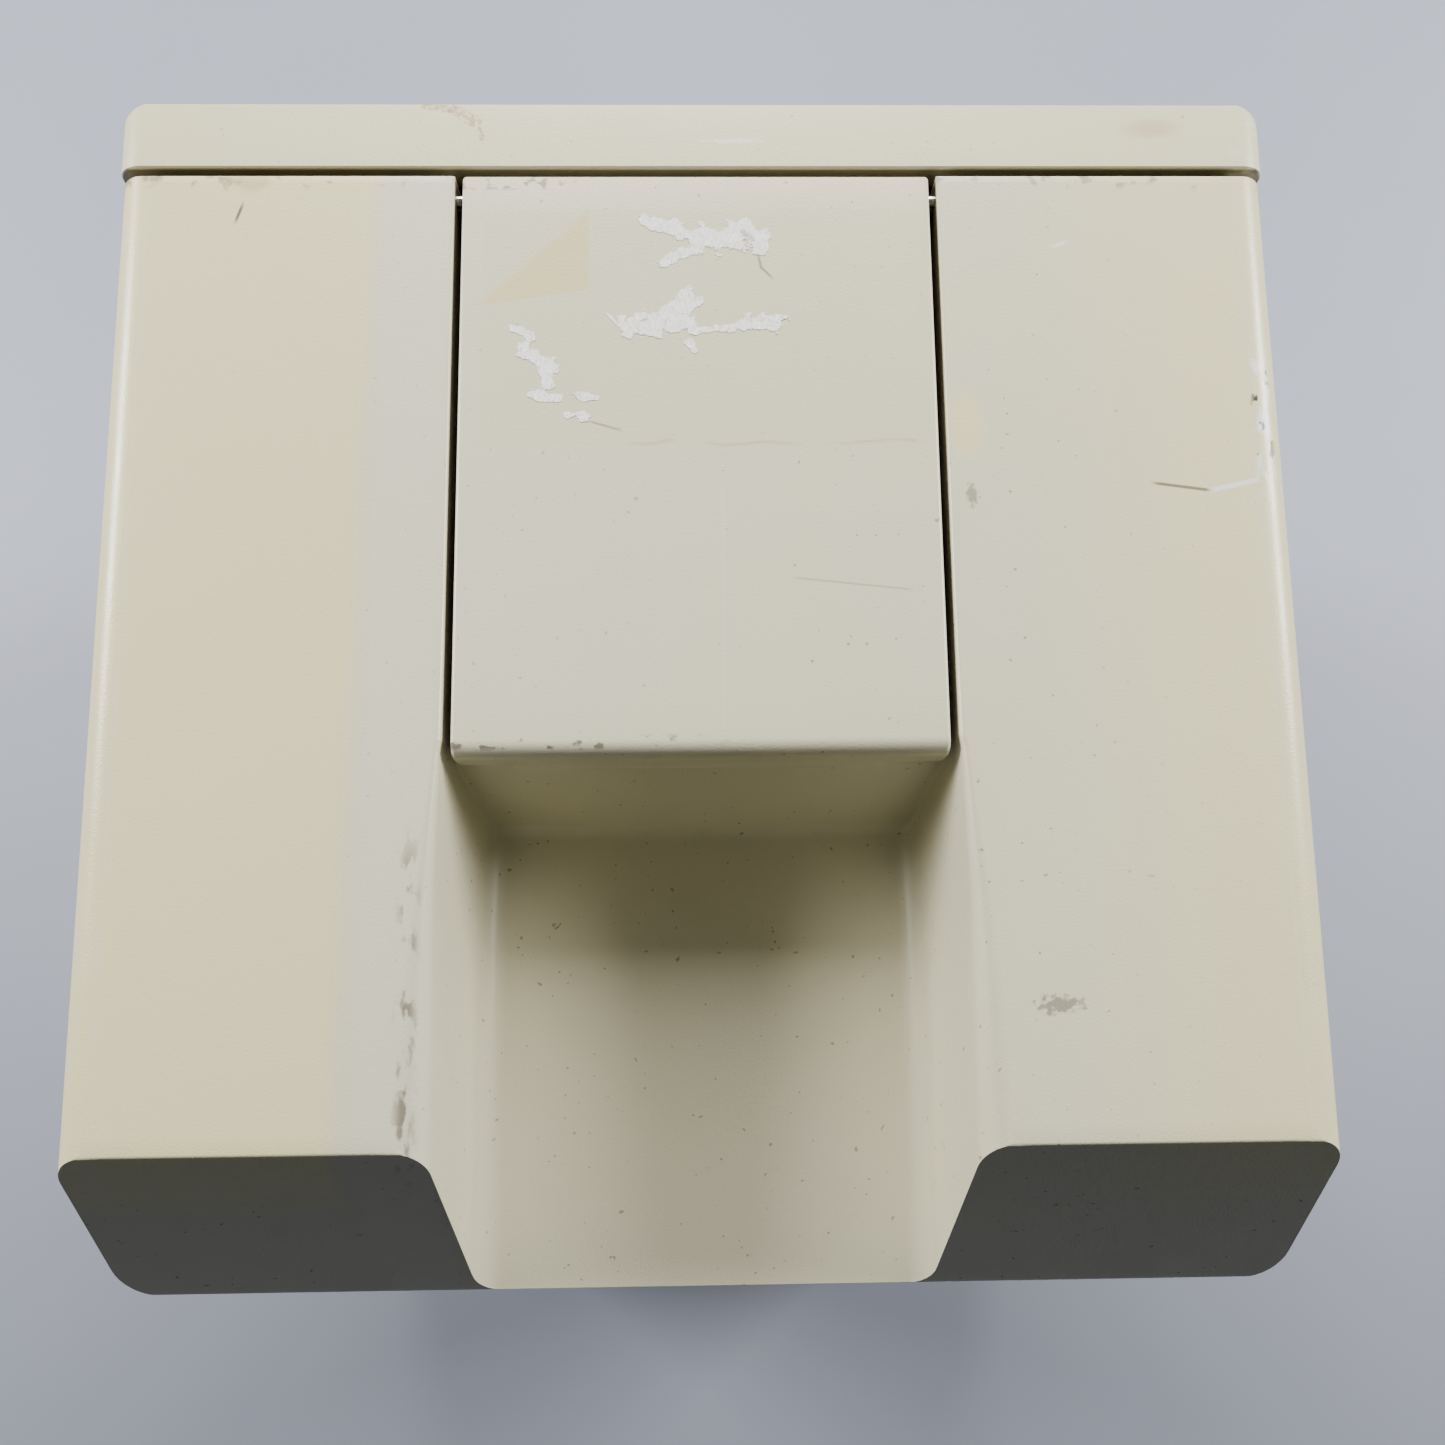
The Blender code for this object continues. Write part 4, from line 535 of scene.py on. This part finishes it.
for start, end, width in (
    ((0.0010, 0.1451), (0.0190, 0.1451), 0.0032),
    ((-0.0169, 0.1508), (0.0001, 0.1458), 0.0017),
    ((-0.0127, 0.1363), (0.0010, 0.1423), 0.0014),
    ((-0.0225, 0.1147), (-0.0041, 0.1157), 0.0027),
    ((-0.0083, 0.1175), (-0.0024, 0.1244), 0.0022),
    ((-0.0022, 0.1126), (0.0111, 0.1133), 0.0011),
    ((0.0143, 0.1150), (0.0254, 0.1157), 0.0019),
    ((0.0124, 0.1140), (0.0170, 0.1181), 0.0007),
    ((-0.0032, 0.1095), (-0.0013, 0.1061), 0.0009),
    ((-0.0592, 0.1134), (-0.0527, 0.1110), 0.0011),
    ((-0.0558, 0.1055), (-0.0468, 0.1007), 0.0016),
    ((-0.0491, 0.0994), (-0.0468, 0.0946), 0.0014),
    ((-0.0537, 0.0909), (-0.0442, 0.0898), 0.0009),
    ((-0.0404, 0.0912), (-0.0321, 0.0895), 0.0008),
    ((-0.0409, 0.0844), (-0.0359, 0.0831), 0.0010),
    ((-0.0289, 0.1182), (-0.0257, 0.1147), 0.0005),
):
    shred = lid_finish.smear(start, end, width * 1.6, 1.9, 210)
    torn = shred if torn is None else lid_finish.math("MAXIMUM", torn, shred)
torn = lid_finish.all_of(torn, lid_top)
lid_finish.lay(lid_finish.all_of(torn, fibres), (0.92, 0.92, 0.90, 1), 0.95)
lid_finish.relief(lid_finish.all_of(torn, lid_finish.noise(1100, 3.0, (1, 0.30, 1))), 0.9, 0.0008)
scuff = lid_finish.smear((0.0150, 0.1475), (0.0185, 0.1445), 0.0009, 0.8, 500)
lid_finish.lay(scuff, (0.25, 0.25, 0.25, 1), 0.5)
curl = lid_finish.math(
    "ADD",
    lid_finish.stroke((0.0199, 0.1391), (0.0210, 0.1345), 0.0002),
    lid_finish.stroke((0.0208, 0.1348), (0.0245, 0.1310), 0.0002),
)
lid_finish.lay(lid_finish.all_of(curl, lid_top), RUB_BLACK, 0.55)
rear_flakes = lid_finish.all_of(
    lid_finish.between(lid_finish.y, 0.1625, 0.1672, 0.0010),
    lid_finish.ramp(lid_finish.x, -0.030, -0.052),
    lid_finish.speckle(330, 0.54, 0.62, 5.0, (0.7, 1, 1)),
)
lid_finish.lay(rear_flakes, GRIME_AND_GAP_SHADE, 0.65)
front_flakes = lid_finish.all_of(
    lid_finish.between(lid_finish.y, -0.0235, -0.0195, 0.0008),
    lid_finish.ramp(lid_finish.x, 0.020, -0.030),
    lid_finish.speckle(240, 0.58, 0.64, 4.0, (0.7, 1, 1)),
)
lid_finish.lay(front_flakes, GRIME_AND_GAP_SHADE, 0.75)
lid_sides = lid_finish.all_of(
    lid_finish.ramp(lid_finish.math("ABSOLUTE", lid_finish.x), 0.0762, 0.0767),
    lid_finish.ramp(lid_finish.z, 0.4990, 0.4965),
)
lid_finish.lay(lid_sides, SLOT_DIRT, 0.60)
lid_finish.lay(lid_finish.stroke((0.0075, 0.060), (0.0069, -0.018), 0.0003, 0.0006), BEIGE_PALE_AND_HIGHLIGHT, 0.7)
lid_finish.lay(lid_finish.stroke((0.030, 0.030), (0.066, 0.026), 0.0001), GRIME_AND_GAP_SHADE, 0.35)
lid_finish.lay(lid_finish.stroke((-0.035, 0.082), (-0.025, 0.079), 0.0002), GRIME_AND_GAP_SHADE, 0.5)
fit(lid, lid_finish, "lid", "lid")

# --- rear bezel -------------------------------------------------------------------------------
# A moulded frame goes round the back of the case behind the hood, a little proud of it, with a
# thin gap between them. Its back corners are rounded and its face carries a few old stains.

BEZEL_HALF = 0.1909
BEZEL_FRONT = 0.17035
BEZEL_REAR = 0.19365
BEZEL_UNDER = 0.0123
BEZEL_WALL = 0.0035
BEZEL_CORNER = 0.009
BEZEL_SIDE_ROUND = 0.0058
BEZEL_TOP_ROUND = 0.0013
BEZEL_RIB = 0.008


def bezel_grid():
    """A closed section carried round a rectangle with round corners. The section goes along the outside,
    round the back edge by part of a circle, forward along the inside and across the front edge. The circle is
    larger on the sides than on the top, in step with how far the outside faces sideways."""
    start = np.radians([0, 90, 180, 270])[:, None]
    turn = (start + np.radians(np.linspace(0, 90, 9))).ravel()
    centre_x = np.repeat([1, -1, -1, 1], 9) * (BEZEL_HALF - BEZEL_CORNER)
    high, low = TOP - BEZEL_CORNER, BEZEL_UNDER + BEZEL_CORNER
    centre_z = np.repeat([high, high, low, low], 9)
    turn = np.append(turn, turn[0])[:, None]
    centre_x = np.append(centre_x, centre_x[0])[:, None]
    centre_z = np.append(centre_z, centre_z[0])[:, None]
    radius = BEZEL_TOP_ROUND + (BEZEL_SIDE_ROUND - BEZEL_TOP_ROUND) * abs(np.cos(turn))
    swing = np.arccos(np.clip(1 - BEZEL_WALL / radius, 0, 1)) * np.linspace(0, 1, 9)
    arc_in = radius * (1 - np.cos(swing))
    arc_y = BEZEL_REAR - radius + radius * np.sin(swing)
    still = 0 * turn
    rib = BEZEL_WALL + BEZEL_RIB * np.clip(np.sin(turn), 0, 1) ** 6
    inset = np.hstack((still + 0.0005, still, arc_in, still + BEZEL_WALL, rib, rib, still + 0.0005))
    rib_y = still + BEZEL_FRONT + BEZEL_WALL
    front = still + BEZEL_FRONT
    y = np.hstack((front, front + 0.0005, arc_y, rib_y, rib_y, front, front))
    x = centre_x + (BEZEL_CORNER - inset) * np.cos(turn)
    z = centre_z + (BEZEL_CORNER - inset) * np.sin(turn)
    return np.stack((x, y, z), axis=-1)


bezel = skin("rear_bezel_moulding", bezel_grid())
bezel_finish = sprayed_beige("bezel_beige")
bezel_finish.lay(bezel_finish.ramp(bezel_finish.z, 0.30, 0.45), BEIGE_YELLOWED, 0.35)
stain = bezel_finish.speckle(600, 0.35, 0.60, 4.0)
for start, end, width in (
    ((-0.0897, 0.1925), (-0.0797, 0.1911), 0.0013),
    ((-0.0797, 0.1911), (-0.0727, 0.1867), 0.0024),
    ((-0.0727, 0.1867), (-0.0706, 0.1809), 0.0012),
):
    streak = bezel_finish.all_of(bezel_finish.smear(start, end, width, 0.6), stain)
    bezel_finish.lay(streak, (0.40, 0.29, 0.14, 1), 0.75)
bezel_finish.lay(bezel_finish.patch((0.152, 0.184), (0.012, 0.005), 0.8, 0.6, 60), (0.52, 0.42, 0.26, 1), 0.6)
bezel_finish.lay(bezel_finish.patch((0.012, 0.180), (0.012, 0.0012), 0.6, 0.8, 300), CHIPPED, 0.6)
# painted shade: the bezel's front faces, facing into the gap to the hood, darkened evenly
bezel_gap_shade = bezel_finish.all_of(
    bezel_finish.ramp(bezel_finish.y, 0.1712, 0.1705), bezel_finish.ramp(bezel_finish.z, 0.4993, 0.4980)
)
bezel_finish.lay(bezel_gap_shade, GRIME_AND_GAP_SHADE, 0.9)
bezel_wear = bezel_finish.all_of(
    bezel_finish.ramp(bezel_finish.x, 0.176, 0.180), bezel_finish.speckle(90, 0.45, 0.60)
)
bezel_finish.lay(bezel_wear, CHIPPED, 0.35)
fit(bezel, bezel_finish, "case", "rear_bezel")

# --- inner parts ------------------------------------------------------------------------------
# The metalwork, boards, drives and switches inside keep their made shapes. Each gets the finish of
# its own stuff: zinc-plated sheet, green laminate, black moulding, bare steel or printed cable.


def plated_sheet(name, colour, roughness, metallic=1.0):
    """Rolled metal: long faint rolling lines, cloudy plating and the odd fingermark."""
    finish = Finish(name, colour, roughness, metallic)
    darker = tuple(0.72 * part for part in colour[:3]) + (1,)
    finish.lay(finish.speckle(22, 0.40, 0.70, 3.0), darker, 0.45)
    finish.lay(finish.speckle(240, 0.60, 0.75, 2.0, (1, 1, 0.03)), darker, 0.35)
    finish.gloss(finish.noise(35, 5.0), roughness * 0.75, min(1.0, roughness * 1.45))
    finish.relief(finish.noise(900, 2.0, (1, 1, 0.05)), 0.15, 0.0001)
    return finish


def moulded_black(name, colour, roughness):
    """Dull moulding: a fine leathery grain with dust in it."""
    finish = Finish(name, colour, roughness)
    finish.lay(finish.speckle(70, 0.45, 0.75, 4.0), (0.16, 0.155, 0.14, 1), 0.25)
    finish.gloss(finish.noise(120, 4.0), roughness * 0.8, min(1.0, roughness * 1.3))
    finish.relief(finish.noise(1800, 2.0), 0.25, 0.0002)
    return finish


def laminate(name):
    """Green board laminate: a glass weave below the mask, copper tracks and tinned pads on a fine pitch."""
    finish = Finish(name, (0.018, 0.150, 0.060, 1), 0.35)
    pads = finish.add("TexVoronoi", finish.place, None, 190.0)
    finish.lay(finish.ramp(pads, 0.26, 0.20), (0.60, 0.60, 0.56, 1), 0.85)
    for direction in ("Y", "Z"):
        waves = finish.add("TexWave", finish.place, 95.0, 3.5, 1.0, 1.2, bands_direction=direction, give=1)
        tracks = finish.all_of(finish.ramp(waves, 0.78, 0.84), finish.speckle(26, 0.48, 0.52, 1.0))
        finish.lay(tracks, (0.045, 0.260, 0.110, 1), 0.8)
    finish.relief(finish.noise(2600, 1.0), 0.15, 0.0001)
    return finish


zinc = plated_sheet("zinc_plate", (0.56, 0.57, 0.57, 1), 0.36)
steel = plated_sheet("bright_steel", (0.66, 0.66, 0.65, 1), 0.24)
aluminium = plated_sheet("aluminium", (0.78, 0.79, 0.80, 1), 0.34)
black = moulded_black("black_moulding", (0.022, 0.022, 0.024, 1), 0.50)
rubber = moulded_black("foot_rubber", (0.030, 0.029, 0.028, 1), 0.85)
board = laminate("board_laminate")
panel_paint = sprayed_beige("panel_beige")
trim = sprayed_beige("trim_beige")
cable = Finish("cable_jacket", (0.33, 0.34, 0.36, 1), 0.5)
cable.lay(cable.speckle(300, 0.45, 0.60, 2.0), (0.20, 0.21, 0.23, 1), 0.4)
lens = Finish("lamp_lens", (0.06, 0.42, 0.12, 1), 0.15)
lens.lay(lens.speckle(500, 0.40, 0.70, 1.0), (0.03, 0.25, 0.07, 1), 0.4)

WORDS_FOR_FINISH = (
    (("foot_",), rubber),
    (("front_panel", "side_panel"), panel_paint),
    (("power_button", "reset_button", "bay_cover", "eject", "flap", "floppy_drive", "optical_drive"), trim),
    (("lens",), lens),
    (("harness", "ribbon"), cable),
    (("board_plate", "base_tray", "cage", "rear_plate", "cross_plate", "bracket", "supply_case"), zinc),
    (("heat_sink", "hard_drive"), aluminium),
    (("screw", "pin", "lock"), steel),
    (("board", "card", "module"), board),
)
for node_name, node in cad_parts.items():
    if not node.hide_render:
        chosen = [f for words, f in WORDS_FOR_FINISH if any(word in node_name for word in words)]
        node.data.materials.clear()
        node.data.materials.append((chosen or [black])[0].material)

# --- stage ------------------------------------------------------------------------------------
# The tower stands on a plain pale floor. Two low soft lights stand a little behind it at left and right,
# and a larger, stronger one hangs above and behind, so its near side and the channel lie in soft shade.

FLOOR_PALE = (0.29, 0.315, 0.39, 1)
LIGHT_TURN = 70
LIGHT_RISE = 22
LIGHT_AWAY = 1.5
LIGHT_WIDE = 0.50
LIGHT_TALL = 0.36
LIGHT_POWER = 36
OVERHEAD_PLACE = (0.0, 1.60, 1.18)
OVERHEAD_POWER = 50
OVERHEAD_SIZE = (1.2, 0.9)
LAMP_WHITE = (1.0, 0.985, 0.96)
SKY = (0.80, 0.86, 0.95, 1)
SKY_STRENGTH = 0.055
FLOOR_HALF = 12.0
LENS = 34.655
CAMERA_PLACE = (-0.0028, -0.0900, 0.9204)
CAMERA_TURNS = ((0.174620, "X"), (-0.021725, "Y"), (-0.008286, "Z"))

floor_mesh = bpy.data.meshes.new("floor")
corners = [(FLOOR_HALF * a, FLOOR_HALF * b, 0) for a, b in ((-1, -1), (1, -1), (1, 1), (-1, 1))]
floor_mesh.from_pydata(corners, [], [(0, 1, 2, 3)])
floor = bpy.data.objects.new("floor", floor_mesh)
bpy.context.scene.collection.objects.link(floor)
floor_finish = Finish("floor_paint", FLOOR_PALE, 0.6)
floor_finish.lay(floor_finish.speckle(3, 0.30, 0.80, 3.0), (0.33, 0.355, 0.43, 1), 0.5)
floor_mesh.materials.append(floor_finish.material)

turn, rise = math.radians(LIGHT_TURN), math.radians(LIGHT_RISE)
beside = (math.sin(turn) * math.cos(rise), math.cos(turn) * math.cos(rise), math.sin(rise))
right_away = np.array(beside) * LIGHT_AWAY
side_size = (LIGHT_WIDE, LIGHT_TALL)
for name, away, power, size in (
    ("left_softbox", right_away * (-1, 1, 1), LIGHT_POWER, side_size),
    ("right_softbox", right_away, LIGHT_POWER, side_size),
    ("overhead_softbox", np.array(OVERHEAD_PLACE), OVERHEAD_POWER, OVERHEAD_SIZE),
):
    lamp = bpy.data.lights.new(name, "AREA")
    lamp.shape = "RECTANGLE"
    lamp.size, lamp.size_y = size
    lamp.energy = power
    lamp.color = LAMP_WHITE
    stand = bpy.data.objects.new(name, lamp)
    stand.location = tuple(away + np.array((0, 0, TOP)))
    stand.rotation_mode = "QUATERNION"
    stand.rotation_quaternion = Vector(-away).to_track_quat("-Z", "Y")
    bpy.context.scene.collection.objects.link(stand)

world = bpy.data.worlds.new("studio")
world.use_nodes = True
world.node_tree.nodes["Background"].inputs[0].default_value = SKY
world.node_tree.nodes["Background"].inputs[1].default_value = SKY_STRENGTH
bpy.context.scene.world = world

camera_data = bpy.data.cameras.new("camera")
camera_data.sensor_width = 36
camera_data.lens = LENS
camera_data.clip_start = 0.01
camera = bpy.data.objects.new("camera", camera_data)
placed = Matrix.Translation(CAMERA_PLACE)
for angle, axis in CAMERA_TURNS:
    placed = placed @ Matrix.Rotation(angle, 4, axis)
camera.matrix_world = placed
bpy.context.scene.collection.objects.link(camera)
bpy.context.scene.camera = camera
